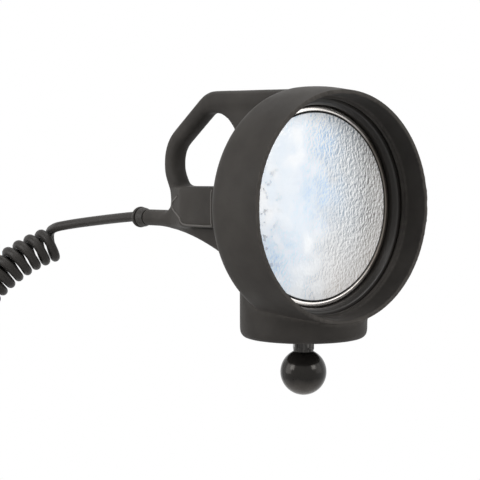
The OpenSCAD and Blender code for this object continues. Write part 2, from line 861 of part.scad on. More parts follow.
// Turned angle: it ends gently, so that the last of the tube runs along the axis
function eased(x) = x <= 0 ? 0 : x >= 1 ? x - 0.5 : x * x / 2;
function curl_turn(s) = curl_phase
  + 360 / curl_pitch * (s - curl_ramp * eased((s - curl_length + curl_straight + curl_ramp) / curl_ramp));
function curl_point(s) =
  let (a = curl_turn(s))
  curl_top + curl_axis(s) + curl_r * (cos(a) * curl_up(s) - cos(curl_phase) * curl_up(0))
    + curl_r * (sin(a) - sin(curl_phase)) * curl_side();
curl_rings = curl_steps * ceil(curl_length / curl_pitch);
curl_turns = [for (i = [0 : curl_rings]) curl_point(curl_length * i / curl_rings)];
curl_path = concat([curl_top - curl_straight * unit(curl_way)], curl_turns);

// Least gap between neighbouring curls, measured on points that lie three quarters of a turn or more apart
function turn_at(i) = curl_turn(curl_length * i / curl_rings);
curl_gaps = [for (i = [0 : curl_rings - curl_steps]) for (k = [curl_steps - 2 : 2 * curl_steps])
  if (i + k <= curl_rings && turn_at(i + k) - turn_at(i) >= 270)
    norm(curl_turns[i + k] - curl_turns[i]) - 2 * cord_r];

module cord_curls() {
  echo(least_gap_between_curls = min(curl_gaps));
  color("#171717") from_lip() tube(curl_path, cord_r, 6);
}

tail_top = curl_turns[curl_rings];
plug_top = tail_top - [0, 0, tail_l];

module cord_tail() {
  p = [for (i = [0 : 4]) tail_top - [0, 0, tail_l * i / 4]];
  color("#171717") from_lip() tube(p, cord_r, 10, [1, 0, 0]);
}

// Places a child that is drawn downwards from the end of the tail
module from_plug() {
  from_lip() translate(plug_top) mirror([0, 0, 1]) children();
}

module plug_relief() {
  groove_l = 1.6;
  groove_count = 4;
  groove_pitch = relief_l / (groove_count + 1.5);
  color("#1a1a1a") from_plug()
    difference() {
      cylinder(r1 = cord_r + 1.2, r2 = 7, h = relief_l);
      for (i = [1 : groove_count])
        translate([0, 0, i * groove_pitch])
          difference() {
            cylinder(r = 10, h = groove_l);
            translate([0, 0, -cut]) cylinder(r = cord_r + 0.9, h = groove_l + 2 * cut);
          }
      translate([0, 0, relief_l - 6]) cylinder(r = 2.4, h = 7);
    }
}

// Plug body: grip and barrel, with the bore for the spring and fuse and the side slots
module plug_body() {
  spring_top = nose_top - fuse_l - spring_l;
  side_floor = barrel_r - side_depth;
  color("#1e1e1f") from_plug()
    difference() {
      rotate_extrude()
        polygon([
          [0, grip_top], [grip_r - 2.5, grip_top], [grip_r, grip_top + 3], [grip_r, barrel_top - 2],
          [grip_r - 1, barrel_top], [barrel_r - land_step, barrel_top], [barrel_r - land_step, land_top],
          [barrel_r, land_top], [barrel_r, nose_top], [0, nose_top]
        ]);
      translate([0, 0, spring_top]) cylinder(r = fuse_r + slide_gap, h = fuse_l + spring_l + cut);
      translate([0, 0, nose_top - tip_travel - loose_gap])
        cylinder(r = tip_r + slide_gap, h = tip_travel + loose_gap + cut);
      for (s = [-1, 1])
        translate([s > 0 ? side_floor : -barrel_r - cut, -side_w / 2 - slide_gap, side_top - slide_gap])
          cube([side_depth + cut, side_w + 2 * slide_gap, side_l + 2 * slide_gap]);
    }
}

module plug_nose_cap() {
  cap_r = barrel_r - loose_gap;
  color("#26262a") from_plug()
    difference() {
      translate([0, 0, nose_top])
        rotate_extrude()
          polygon([[0, 0], [cap_r, 0], [cap_r, nose_l - 2.5], [cap_r - 2, nose_l], [0, nose_l]]);
      translate([0, 0, nose_top - cut]) cylinder(r = tip_r + slide_gap, h = nose_l + 2 * cut);
    }
}

module plug_tip() {
  color("#d5d9dc") from_plug()
    translate([0, 0, nose_top + 0.2])
      rotate_extrude()
        polygon([
          [0, 0], [tip_r, 0], [tip_r, nose_l + tip_out - 3], [tip_r - 2, nose_l + tip_out],
          [0, nose_l + tip_out]
        ]);
}

module plug_fuse() {
  cap_l = 6;
  color("#cfd6da") from_plug()
    translate([0, 0, nose_top + 0.2 - fuse_l]) {
      cylinder(r = fuse_r, h = cap_l);
      translate([0, 0, cap_l]) cylinder(r = fuse_r - 0.3, h = fuse_l - 2 * cap_l);
      translate([0, 0, fuse_l - cap_l]) cylinder(r = fuse_r, h = cap_l);
    }
}

module plug_spring() {
  top = nose_top + 0.2 - fuse_l - spring_l + 0.2 + spring_wire;
  run = spring_l - 0.6 - 2 * spring_wire;
  steps = spring_turns * 8;
  mid_r = fuse_r - spring_wire - 0.3;
  p = [for (i = [0 : steps])
    [mid_r * cos(i * 45), mid_r * sin(i * 45), top + run * i / steps]];
  color("#c7cbce") from_plug() tube(p, spring_wire, 6, [0, 0, 1]);
}

module side_contact(s) {
  head_x = barrel_r + side_out;
  from = barrel_r - side_depth + side_travel + 0.3;
  color("#cdb15e") from_plug()
    rotate([0, 0, s > 0 ? 0 : 180])
      translate([0, side_w / 2, side_top]) rotate([90, 0, 0])
        linear_extrude(side_w)
          polygon([
            [from, 0], [barrel_r, 0], [head_x, 3], [head_x, side_l - 3], [barrel_r, side_l], [from, side_l]
          ]);
}

module plug_contact_left() {
  side_contact(-1);
}

module plug_contact_right() {
  side_contact(1);
}

housing();
retaining_ring();
lamp_bezel();
lens();
lens_gasket();
lamp_body();
reflector_array();
led_board();
leds();
board_screws();
driver_board();
driver_parts();
rear_insulator();
terminal_screws();
ring_terminals();
lead_lamp();
lead_return();
lead_switch();
switch_body();
switch_nut();
switch_button();
foot_plate();
foot_washer();
foot_nut();
ball_stud();
ball();
cord_collar();
cable_inner();
cable_ferrule();
cord_lead();
cord_curls();
cord_tail();
plug_relief();
plug_body();
plug_nose_cap();
plug_tip();
plug_fuse();
plug_spring();
plug_contact_left();
plug_contact_right();
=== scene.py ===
"""Dresses a hand-held spotlight: moulded housing, sealed lamp, ball foot, switch, curly cord and plug."""

import contextlib
import math

import bmesh
import bpy
import numpy as np
from mathutils import Matrix, Vector


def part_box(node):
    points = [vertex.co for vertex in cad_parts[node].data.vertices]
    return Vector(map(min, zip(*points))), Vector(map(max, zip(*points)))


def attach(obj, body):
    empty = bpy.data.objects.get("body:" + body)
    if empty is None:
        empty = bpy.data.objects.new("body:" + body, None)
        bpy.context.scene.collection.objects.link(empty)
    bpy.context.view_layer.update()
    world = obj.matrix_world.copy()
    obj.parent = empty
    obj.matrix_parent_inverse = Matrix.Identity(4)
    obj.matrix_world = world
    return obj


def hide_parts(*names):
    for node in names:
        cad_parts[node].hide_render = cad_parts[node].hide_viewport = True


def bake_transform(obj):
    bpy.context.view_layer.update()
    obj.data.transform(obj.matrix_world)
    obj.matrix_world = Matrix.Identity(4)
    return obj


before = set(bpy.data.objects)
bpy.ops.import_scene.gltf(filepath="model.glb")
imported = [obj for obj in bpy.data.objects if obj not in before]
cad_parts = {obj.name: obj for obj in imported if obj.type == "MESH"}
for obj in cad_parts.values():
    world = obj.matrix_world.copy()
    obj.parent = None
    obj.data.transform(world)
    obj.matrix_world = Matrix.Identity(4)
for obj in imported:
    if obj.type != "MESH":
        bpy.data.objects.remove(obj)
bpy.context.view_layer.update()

bl_info = {
    "name": "Ball-mounted spotlight",
    "version": (1, 0, 0),
    "blender": (4, 5, 0),
    "location": "3D View > Sidebar > Spotlight",
    "description": "Moulded housing, sealed lamp, ball foot, switch, curly cord and plug of a spotlight",
    "category": "Object",
}

MM = 0.001
CAD_MERGE = 2e-6
SHARP_ANGLE = math.radians(40)
LENS_APEX = 19.7
LENS_RADIUS = 50.6
BALL_RADIUS = 12.7


def middle(node, axis):
    """Middle of a CAD node's box along one axis."""
    low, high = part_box(node)
    return (low[axis] + high[axis]) / 2


LIP_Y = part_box("lens")[0].y - LENS_APEX * MM
AXIS_Z = middle("lens", 2)
OUTLET_Z = middle("cord_collar", 2)
PLUG_X = middle("plug_tip", 0)
PLUG_Y = middle("plug_tip", 1)


def from_lip(x, depth, height):
    """A point in millimetres from the lip and the lamp axis, as metres in the shared frame."""
    return (x * MM, LIP_Y + depth * MM, AXIS_Z + height * MM)


def to_lip(points):
    """Columns of x, depth and height in millimetres from the lip and the lamp axis."""
    return ((points - (0, LIP_Y, AXIS_Z)) / MM).T


def about_lamp(a, b, along):
    return from_lip(a, along, b)


def about_outlet(a, b, along):
    return (a * MM, LIP_Y + along * MM, OUTLET_Z + b * MM)


def about_ball(a, b, along):
    return (a * MM, b * MM, along * MM)


# Mesh helpers


def new_piece(name, mesh):
    piece = bpy.data.objects.new(name, mesh)
    bpy.context.scene.collection.objects.link(piece)
    return piece


@contextlib.contextmanager
def edited(mesh):
    """Opens a mesh for edits of its faces and stores them at the end."""
    bm = bmesh.new()
    bm.from_mesh(mesh)
    yield bm
    bm.to_mesh(mesh)
    bm.free()
    mesh.update()


def clean_mesh(mesh, merge=1e-6):
    """Merges doubled points, turns the faces outwards and shades them smooth."""
    with edited(mesh) as bm:
        bmesh.ops.remove_doubles(bm, verts=bm.verts, dist=merge)
        bmesh.ops.dissolve_degenerate(bm, edges=bm.edges, dist=1e-7)
        bmesh.ops.recalc_face_normals(bm, faces=bm.faces)
        for face in bm.faces:
            face.smooth = True


def mesh_from(name, points, faces, merge=1e-6):
    mesh = bpy.data.meshes.new(name)
    mesh.from_pydata([tuple(p) for p in points], [], faces)
    clean_mesh(mesh, merge)
    return mesh


def baked(piece):
    """Turns a piece with modifiers into a plain mesh."""
    bpy.context.view_layer.update()
    depsgraph = bpy.context.evaluated_depsgraph_get()
    mesh = bpy.data.meshes.new_from_object(piece.evaluated_get(depsgraph))
    piece.modifiers.clear()
    old = piece.data
    piece.data = mesh
    bpy.data.meshes.remove(old)
    mesh.name = piece.name


def bow(start, corner, end, t):
    """Value at share t of a curve that leaves start and reaches end towards the corner."""
    return (1 - t) ** 2 * start + 2 * t * (1 - t) * corner + t * t * end


def rounded(points, radii, steps=4):
    """A closed profile with its corners rounded, each by its own radius, in millimetres."""
    count = len(points)
    out = []
    for i, corner in enumerate(points):
        here = Vector(corner)
        back = Vector(points[i - 1]) - here
        ahead = Vector(points[(i + 1) % count]) - here
        reach = min(radii[i], 0.45 * back.length, 0.45 * ahead.length)
        if reach < 1e-4 or here.x < 1e-6:
            out.append(tuple(here))
            continue
        start = here + back.normalized() * reach
        end = here + ahead.normalized() * reach
        out += [tuple(bow(start, here, end, k / steps)) for k in range(steps + 1)]
    return out


def grid_faces(rows, columns, row_steps, column_steps):
    """Faces between neighbouring points in rows; a full number of steps closes the grid."""
    faces = []
    for s in range(row_steps):
        here, there = s * columns, (s + 1) % rows * columns
        for i in range(column_steps):
            j = (i + 1) % columns
            faces.append((here + i, here + j, there + j, there + i))
    return faces


def lathe(name, profile, place, segments=192):
    """A piece from a closed profile of radius and distance, in millimetres, turned round an axis."""
    count = len(profile)
    points = []
    for s in range(segments):
        angle = 2 * math.pi * s / segments
        points += [place(r * math.cos(angle), r * math.sin(angle), along) for r, along in profile]
    faces = [f for f in grid_faces(segments, count, segments, count)
             if max(profile[f[0] % count][0], profile[f[1] % count][0]) >= 1e-6]
    return new_piece(name, mesh_from(name, points, faces))


def round_curve(name, routes, radius, resolution):
    """A curve that is drawn as round tubes with closed ends along its routes."""
    line = bpy.data.curves.new(name, "CURVE")
    line.dimensions = "3D"
    line.bevel_depth = radius
    line.bevel_resolution = resolution
    line.use_fill_caps = True
    for route in routes:
        spline = line.splines.new("POLY")
        spline.points.add(len(route) - 1)
        for point, place in zip(spline.points, route):
            point.co = (*place, 1)
    return bpy.data.objects.new(name, line)


def tube_mesh(name, routes, radius):
    """Thin round tubes along several routes, as a mesh."""
    holder = round_curve(name, routes, radius, 2)
    mesh = bpy.data.meshes.new_from_object(holder)
    bpy.data.curves.remove(holder.data)
    clean_mesh(mesh)
    return mesh


def cad_copy(node, name):
    """A piece with a CAD node's shape, its doubled points merged."""
    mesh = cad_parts[node].data.copy()
    mesh.materials.clear()
    clean_mesh(mesh, CAD_MERGE)
    return new_piece(name, mesh)


def dress(node, name, width, material, body="light", angle=30, segments=3):
    """Stands a copy with rounded edges in for a CAD node."""
    piece = cad_copy(node, name)
    bevel = piece.modifiers.new("edges", "BEVEL")
    bevel.width = width
    bevel.segments = segments
    bevel.limit_method = "ANGLE"
    bevel.angle_limit = math.radians(angle)
    baked(piece)
    piece.data.set_sharp_from_angle(angle=SHARP_ANGLE)
    finish(piece, material, body, [node])


def wear(piece, material):
    piece.data.materials.clear()
    piece.data.materials.append(material)


def finish(piece, material, body="light", nodes=()):
    """Gives a piece its material, its body and the CAD nodes that it stands for."""
    wear(piece, material)
    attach(piece, body)
    if nodes:
        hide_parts(*nodes)


# Node trees and materials


class Graph:
    """A node tree under construction, with short calls for the nodes that are used most."""

    def __init__(self, tree):
        self.tree = tree

    def feed(self, socket, value):
        if isinstance(value, bpy.types.NodeSocket):
            self.tree.links.new(value, socket)
        else:
            socket.default_value = value

    def node(self, kind, *values, setup=None, **named):
        """Adds a node; values feed its sockets in order, named ones by name, with _ for a space."""
        node = self.tree.nodes.new(kind)
        for key, value in (setup or {}).items():
            setattr(node, key, value)
        for socket, value in zip(node.inputs, values):
            self.feed(socket, value)
        for key, value in named.items():
            self.feed(node.inputs[key.replace("_", " ")], value)
        return node

    def maths(self, operation, first, second):
        return self.node("ShaderNodeMath", first, second, setup={"operation": operation}).outputs[0]

    def vectors(self, operation, *values, output="Vector", **named):
        node = self.node("ShaderNodeVectorMath", *values, setup={"operation": operation}, **named)
        return node.outputs[output]

    def span(self, value, low, high, to_low, to_high):
        return self.node("ShaderNodeMapRange", value, low, high, to_low, to_high).outputs["Result"]


class Surface(Graph):
    """A material under construction: a Principled shader and calls for what feeds it."""

    def __init__(self, name, **sockets):
        self.material = bpy.data.materials.new(name)
        self.material.use_nodes = True
        super().__init__(self.material.node_tree)
        self.shader = self.tree.nodes["Principled BSDF"]
        self.where = self.tree.nodes.new("ShaderNodeTexCoord").outputs["Object"]
        self.set(**sockets)

    def set(self, **links):
        for socket, value in links.items():
            self.feed(self.shader.inputs[socket.replace("_", " ")], value)
        return self.material

    def placed(self, scale=(1, 1, 1), turn=(0, 0, 0), place=(0, 0, 0)):
        mapping = self.node("ShaderNodeMapping", self.where, Scale=scale, Rotation=turn, Location=place)
        return mapping.outputs["Vector"]

    def axes(self, where=None):
        return self.node("ShaderNodeSeparateXYZ", where or self.where).outputs

    def noise(self, size, detail, where=None):
        """Noise with features of about that size in metres."""
        node = self.node("ShaderNodeTexNoise", Vector=where or self.where, Scale=1 / size, Detail=detail,
                         Roughness=0.55)
        return node.outputs["Fac"]

    def drift(self, size, detail, low, high):
        """Value that drifts between two bounds."""
        return self.span(self.noise(size, detail), 0.3, 0.7, low, high)

    def ramp(self, factor, stops):
        node = self.node("ShaderNodeValToRGB", factor)
        elements = node.color_ramp.elements
        while len(elements) < len(stops):
            elements.new(0.5)
        for element, (position, colour) in zip(elements, stops):
            element.position = position
            element.color = colour
        return node.outputs["Color"]

    def clouds(self, size, low, high, warm):
        """Colour that drifts between two grey levels."""
        return self.ramp(self.noise(size, 4), [(0.3, shade(low, warm)), (0.7, shade(high, warm))])

    def mix(self, factor, first, second, blend="MIX"):
        node = self.node("ShaderNodeMix", factor, setup={"data_type": "RGBA", "blend_type": blend})
        self.feed(node.inputs[6], first)
        self.feed(node.inputs[7], second)
        return node.outputs[2]

    def laid(self, base, colour, first, second):
        """Lays a colour over the base as far as two shares, multiplied, tell."""
        return self.mix(self.maths("MULTIPLY", first, second), base, colour)

    def bump(self, height, distance, strength=1.0, **under):
        node = self.node("ShaderNodeBump", Height=height, Distance=distance, Strength=strength, **under)
        return node.outputs["Normal"]


def shade(level, warm=0.0):
    """A near-grey linear colour from an sRGB level out of 255; warm leans it to red or, below 0, to blue."""
    def linear(v):
        v = max(0.0, v) / 255
        return v / 12.92 if v <= 0.04045 else ((v + 0.055) / 1.055) ** 2.4
    return (linear(level * (1 + warm)), linear(level), linear(level * (1 - warm)), 1)


def rubber(name, level, warm=0.02, roughness=0.55, grain=0.0009, depth=0.00004, spread=4,
           specular=0.15, edge_highlight=0):
    """Matt moulded rubber: cloudy colour, fine grain, slightly uneven sheen and sharply bent edges painted
    lighter as highlights.
    """
    s = Surface(name, Specular_IOR_Level=specular)
    colour = s.clouds(0.03, level - spread, level + spread, warm)
    # painted highlight: sharply bent edges and creases are painted lighter
    if edge_highlight:
        edge = s.node("ShaderNodeAttribute", setup={"attribute_name": "edge"})
        pale = s.clouds(0.006, level + edge_highlight - 8, level + edge_highlight, warm)
        colour = s.mix(edge.outputs["Fac"], colour, pale)
    normal = s.bump(s.noise(0.006, 3), 0.00006, 0.5, Normal=s.bump(s.noise(grain, 2), depth))
    rough = s.drift(0.012, 4, roughness - 0.05, roughness + 0.07)
    return s.set(Base_Color=colour, Roughness=rough, Normal=normal)


def metal(name, level, warm=0.0, roughness=0.22, streak=(1, 1, 1), size=0.002, depth=0.00001, spread=12):
    """Plated or brushed metal: fine streaks along one direction and clouded gloss."""
    s = Surface(name, Metallic=1.0)
    lines = s.noise(size, 5, s.placed(scale=streak))
    dark, light = shade(level - spread, warm), shade(min(255, level + spread), warm)
    colour = s.ramp(lines, [(0.25, dark), (0.75, light)])
    rough = s.drift(0.008, 4, roughness - 0.05, roughness + 0.08)
    return s.set(Base_Color=colour, Roughness=rough, Normal=s.bump(lines, depth))


def side_shaded_metal(name, bright, shaded_level):
    """Bright metal with painted shade: darker and browner towards one side, where the hood shades it, and
    rougher there.
    """
    s = Surface(name, Metallic=1.0)
    # painted shade: the colour darkens along x towards the side that the hood shades
    toward_shade = s.maths("ADD", s.axes()["X"], s.drift(0.004, 3, -0.004, 0.004))
    share = s.span(toward_shade, 0.012, 0.04, 0, 1)
    colour = s.mix(share, shade(bright, 0.02), shade(shaded_level, 0.06))
    return s.set(Base_Color=colour, Roughness=s.span(share, 0, 1, 0.22, 0.42))


def plastic(name, level, warm=0.0, roughness=0.4):
    """Moulded plastic: slight cloud in the colour, fine spark-eroded texture."""
    s = Surface(name)
    colour = s.clouds(0.01, level - 4, level + 4, warm)
    rough = s.drift(0.005, 3, roughness - 0.05, roughness + 0.06)
    return s.set(Base_Color=colour, Roughness=rough, Normal=s.bump(s.noise(0.0006, 2), 0.00002))


def wire(name, red):
    """Insulation of a wire, black or as red as the share says."""
    s = Surface(name, Roughness=0.4)
    deep = (0.16 * red + 0.012, 0.012, 0.012, 1)
    light = (0.34 * red + 0.02, 0.02, 0.018, 1)
    colour = s.ramp(s.noise(0.004, 3), [(0.3, deep), (0.7, light)])
    return s.set(Base_Color=colour, Normal=s.bump(s.noise(0.0006, 2), 0.00003))


def geometry_graph(name, *inputs):
    """A Geometry Nodes tree with named inputs: its graph, the inputs' sockets and their identifiers."""
    tree = bpy.data.node_groups.new(name, "GeometryNodeTree")
    tree.interface.new_socket("Geometry", in_out="INPUT", socket_type="NodeSocketGeometry")
    keys = [tree.interface.new_socket(label, in_out="INPUT", socket_type=kind).identifier
            for label, kind in inputs]
    tree.interface.new_socket("Geometry", in_out="OUTPUT", socket_type="NodeSocketGeometry")
    graph = Graph(tree)
    return graph, graph.node("NodeGroupInput").outputs, keys


def put_out(graph, geometry, material):
    """Makes the geometry real, paints it and puts it out."""
    real = graph.node("GeometryNodeRealizeInstances", geometry)
    paint = graph.node("GeometryNodeSetMaterial", real.outputs[0], Material=material)
    graph.node("NodeGroupOutput", paint.outputs[0])


def run_tree(piece, tree, keys, values):
    """Runs a Geometry Nodes tree on a piece with these input values and bakes it."""
    modifier = piece.modifiers.new(tree.name, "NODES")
    modifier.node_group = tree
    for key, value in zip(keys, values):
        modifier[key] = value
    baked(piece)


# Mesh arrays


def read_rows(items, key, width, kind=float):
    """A property of a mesh's points or edges, one row for each."""
    values = np.empty(len(items) * width, kind)
    items.foreach_get(key, values)
    return values.reshape(-1, width)


def mesh_points(mesh):
    return read_rows(mesh.vertices, "co", 3)


def mesh_arrays(mesh):
    """Points, edges and each point's number of neighbours."""
    edges = read_rows(mesh.edges, "vertices", 2, np.int64)
    degree = np.bincount(edges.ravel(), minlength=len(mesh.vertices)).astype(float)
    return mesh_points(mesh), edges, np.maximum(degree, 1)


def store_points(mesh, points):
    mesh.vertices.foreach_set("co", points.ravel())
    mesh.update()


def store_value(mesh, name, values):
    attribute = mesh.attributes.new(name, "FLOAT", "POINT")
    attribute.data.foreach_set("value", values.astype(np.float32))


def neighbour_sum(values, edges):
    """Sum of a value over each point's neighbours."""
    first, second = edges.T
    return np.bincount(first, values[second], len(values)) + np.bincount(second, values[first], len(values))


def laplace(points, edges, degree):
    """Step of each point towards the middle of its neighbours."""
    total = np.stack([neighbour_sum(column, edges) for column in points.T], 1)
    return total / degree[:, None] - points


def soften(mesh, rounds, convex, share=1.0):
    """Rounds a mesh: hollow corners fill up, and raised edges move by the convex share only."""
    points, edges, degree = mesh_arrays(mesh)
    share = share(points)[:, None] if callable(share) else share
    for i in range(rounds):
        step = 0.5 * laplace(points, edges, degree)
        if i % 4 == 0:
            store_points(mesh, points)
            normals = read_rows(mesh.vertices, "normal", 3)
        out = (step * normals).sum(1, keepdims=True)
        points += share * (step - out * normals + np.where(out > 0, out, convex * out) * normals)
    store_points(mesh, points)


# Housing


def outlet_flare(rings=18, steps=24):
    """Arch over the outlet that widens it into the rear of the box, as a closed mesh."""
    height = (OUTLET_Z - AXIS_Z) / MM
    start, run, widest, tallest = 149.4, 11.6, 151, 150.4
    tube, bore, wider, taller = 5.3, 4.3, 0.9, 8.5
    count = 2 * (steps + 1)
    angles = [math.pi * k / steps for k in range(steps + 1)]
    inner = [(bore * math.cos(a), bore * math.sin(a)) for a in reversed(angles)]
    points = []
    for i in range(rings + 1):
        depth = start + run * i / rings
        far = max(0.0, min(1.0, (depth - widest) / 9.5))
        near = 1 - far * far * (3 - 2 * far)
        rise = 1 - math.sqrt(1 - max(0.0, min(1.0, 1 - (depth - tallest) / 10)) ** 2)
        half, top, power = tube + wider * near, tube + taller * rise, 2 / (2 + 6 * near)
        outer = [(math.copysign(abs(math.cos(a)) ** power, math.cos(a)) * half, math.sin(a) ** power * top)
                 for a in angles[1:-1]]
        ring = [(half, 0)] + outer + [(-half, 0)] + inner
        points += [from_lip(x, depth, height + z) for x, z in ring]
    ends = [tuple(range(count)), tuple(range(rings * count, (rings + 1) * count))]
    return mesh_from("outlet_flare", points, ends + grid_faces(rings + 1, count, rings, count))


def near_outlet(points):
    """1 where the outlet runs into the box, falling to 0 round it."""
    _, depth, height = to_lip(points)
    front, rear, top, bottom = 141, 159, 7, -13
    along = np.clip((depth - front) / 6, 0, 1) * np.clip((rear - depth) / 6, 0, 1)
    return along * np.clip((top - height) / 6, 0, 1) * np.clip((height - bottom) / 4, 0, 1)


def mark_edges(mesh, low, high):
    """Stores how sharply the surface bends, from 0 to 1, for the painted edge highlights."""
    points, edges, degree = mesh_arrays(mesh)
    first, second = edges.T
    spacing = np.linalg.norm(points[first] - points[second], axis=1)
    size = np.bincount(first, spacing, len(points)) + np.bincount(second, spacing, len(points))
    size = np.maximum(size / degree, 1e-9)
    bend = (laplace(points, edges, degree) * read_rows(mesh.vertices, "normal", 3)).sum(1) / size ** 2
    value = np.clip((np.abs(bend) * MM - low) / (high - low), 0, 1)
    for _ in range(2):
        value = 0.5 * value + 0.5 * neighbour_sum(value, edges) / degree
    store_value(mesh, "edge", value)


def hood_profile(steps=10):
    """Half section of the hood as radius and depth in millimetres, from the ring groove to the funnel."""
    wall, outside, bead_round, bead_depth, lip_round, shoulder = 59.4, 64.8, 1.6, 15, 1.1, 10
    groove, lip_end, funnel_end = (wall, 24.0), (wall, 2.1), (12.5, 96.2)
    half_turn = np.linspace(0, math.pi, 2 * steps)
    bead = [(wall - bead_round * math.sin(a), bead_depth + bead_round * math.cos(a)) for a in half_turn]
    lip = [(60.7 - lip_round * math.cos(a), -lip_round * math.sin(a)) for a in half_turn]
    flare = [(bow(63.3, outside, outside, t), bow(9, 18, 27.1, t)) for t in np.linspace(0, 1, 2 * steps)]
    bend = [(54.8 + shoulder * math.cos(a), 28.1 + shoulder * math.sin(a))
            for a in np.linspace(0, math.radians(39), steps)]
    return np.array([groove] + bead + [lip_end] + lip + flare + bend + [funnel_end])


def snap_to_hood(mesh, near, far):
    """Moves points that lie close to the hood's true section onto it."""
    x, depth, height = to_lip(mesh_points(mesh))
    radius = np.hypot(x, height)
    here = np.stack([radius, depth], 1)
    best = np.full(len(here), 1e9)
    target = here.copy()
    profile = hood_profile()
    for start, end in zip(profile[:-1], profile[1:]):
        run = end - start
        t = np.clip(((here - start) @ run) / max(run @ run, 1e-12), 0, 1)
        foot = start + t[:, None] * run
        gap = np.hypot(*(here - foot).T)
        closer = gap < best
        best[closer] = gap[closer]
        target[closer] = foot[closer]
    share = np.clip((far - best) / (far - near), 0, 1)
    share = share * share * (3 - 2 * share)
    moved = here + share[:, None] * (target - here)
    scale = moved[:, 0] / np.maximum(radius, 1e-6)
    store_points(mesh, np.stack(from_lip(x * scale, moved[:, 1], height * scale), 1))


def refine_mouth(mesh, depth, inner):
    """Halves the faces round the hood's mouth, where the lip and the bead need them."""
    def in_mouth(v):
        radius = math.hypot(v.co.x, v.co.z - AXIS_Z)
        return v.co.y < LIP_Y + depth * MM and radius > inner * MM
    with edited(mesh) as bm:
        edges = [e for e in bm.edges if in_mouth(e.verts[0]) and in_mouth(e.verts[1])]
        bmesh.ops.subdivide_edges(bm, edges=edges, cuts=1, use_grid_fill=True)


class HousingSettings(bpy.types.PropertyGroup):
    voxel: bpy.props.FloatProperty(
        name="Voxel", description="Size of the skin's faces", default=0.00142, unit="LENGTH", precision=5)
    fillet_rounds: bpy.props.IntProperty(
        name="Fillet rounds", description="How far hollow corners fill up", default=9)
    outlet_rounds: bpy.props.IntProperty(
        name="Outlet rounds", description="How far the outlet blends into the box", default=20)
    # The lines round the switch box are thin light tubes: painted highlights along the box's edges, not
    # moulded ridges.
    line_width: bpy.props.FloatProperty(
        name="Line width", description="Width of the painted highlight lines round the switch box",
        default=0.0011, unit="LENGTH", precision=4)
    highlight_line_level: bpy.props.FloatProperty(
        name="Line grey", description="Grey level of the painted highlight lines, out of 255", default=96)
    rubber_level: bpy.props.FloatProperty(
        name="Rubber grey", description="Grey level of the rubber, out of 255", default=56)
    ring_level: bpy.props.FloatProperty(
        name="Ring grey", description="Grey level of the retaining ring, out of 255", default=48)


# Routes of the painted highlight lines, along the rounded edges of the switch box
HIGHLIGHT_LINES = (
    ((14, 98.9, 8.8), (14, 98.9, -8), (14, 98.9, -11.3), (13.6, 98.9, -12.7)),
    ((13.6, 98.9, -12.7), (13.6, 112, -12.7), (13.6, 124, -12.6), (13.6, 127.5, -11.9), (13.7, 129.6, -10.2),
     (13.6, 130.7, -8.4), (12.9, 133, -7.4), (10, 141, -4.8), (8.5, 145, -3), (8.1, 146, -0.8),
     (8.5, 145, 1.2), (10.3, 140, 2.9), (12.2, 134.9, 4.7)),
)


def highlight_routes(skin, cuts=8):
    """Lighter lines round the switch box, laid on the skin on both sides: painted highlights along the box's
    rounded edges and creases.
    """
    routes = []
    for side in (-1, 1):
        for line in HIGHLIGHT_LINES:
            points = [Vector(from_lip(side * x, depth, height)) for x, depth, height in line]
            steps = [a.lerp(b, i / cuts) for a, b in zip(points, points[1:]) for i in range(cuts)]
            routes.append([skin.closest_point_on_mesh(p)[1] for p in steps + points[-1:]])
    return routes


class SPOTLIGHT_OT_housing(bpy.types.Operator):
    """Moulded rubber housing: one skin with soft fillets between hood, pad, handle and switch box"""
    bl_idname = "spotlight.housing"
    bl_label = "Housing"

    def execute(self, context):
        settings = context.scene.spotlight_housing
        skin = cad_copy("housing", "housing_skin")
        flare = outlet_flare()
        with edited(skin.data) as bm:
            bm.from_mesh(flare)
        bpy.data.meshes.remove(flare)
        remesh = skin.modifiers.new("skin", "REMESH")
        remesh.mode = "VOXEL"
        remesh.voxel_size = settings.voxel
        baked(skin)
        mesh = skin.data
        soften(mesh, 3, 1.0)
        soften(mesh, settings.fillet_rounds, 0.12)
        soften(mesh, settings.outlet_rounds, 0.5, near_outlet)
        refine_mouth(mesh, depth=19, inner=50)
        soften(mesh, 2, 0.6)
        snap_to_hood(mesh, near=0.7, far=1.4)
        mark_edges(mesh, low=0.1, high=0.4)
        for polygon in mesh.polygons:
            polygon.use_smooth = True
        # the housing's sharply bent edges get a painted highlight, 34 levels lighter
        coat = rubber("housing_rubber", settings.rubber_level, 0.045, 0.5, specular=0.06, spread=6, edge_highlight=34)
        finish(skin, coat, nodes=["housing"])
        # thin tubes painted lighter than the rubber: painted highlights along the switch box's edges
        tubes = tube_mesh("highlight_lines", highlight_routes(skin), settings.line_width / 2)
        coat = rubber("line_rubber", settings.highlight_line_level, 0.03, 0.5, specular=0.05)
        finish(new_piece("highlight_lines", tubes), coat)
        return {"FINISHED"}


# Lamp


class LampSettings(bpy.types.PropertyGroup):
    pebble: bpy.props.FloatProperty(
        name="Pebble", description="Size of the lens's pebbles", default=0.0014, unit="LENGTH", precision=5)
    relief: bpy.props.FloatProperty(
        name="Relief", description="Height of the pebbles", default=0.00022, unit="LENGTH", precision=5)
    grid: bpy.props.IntProperty(name="Grid", description="Faces across the lens", default=220)


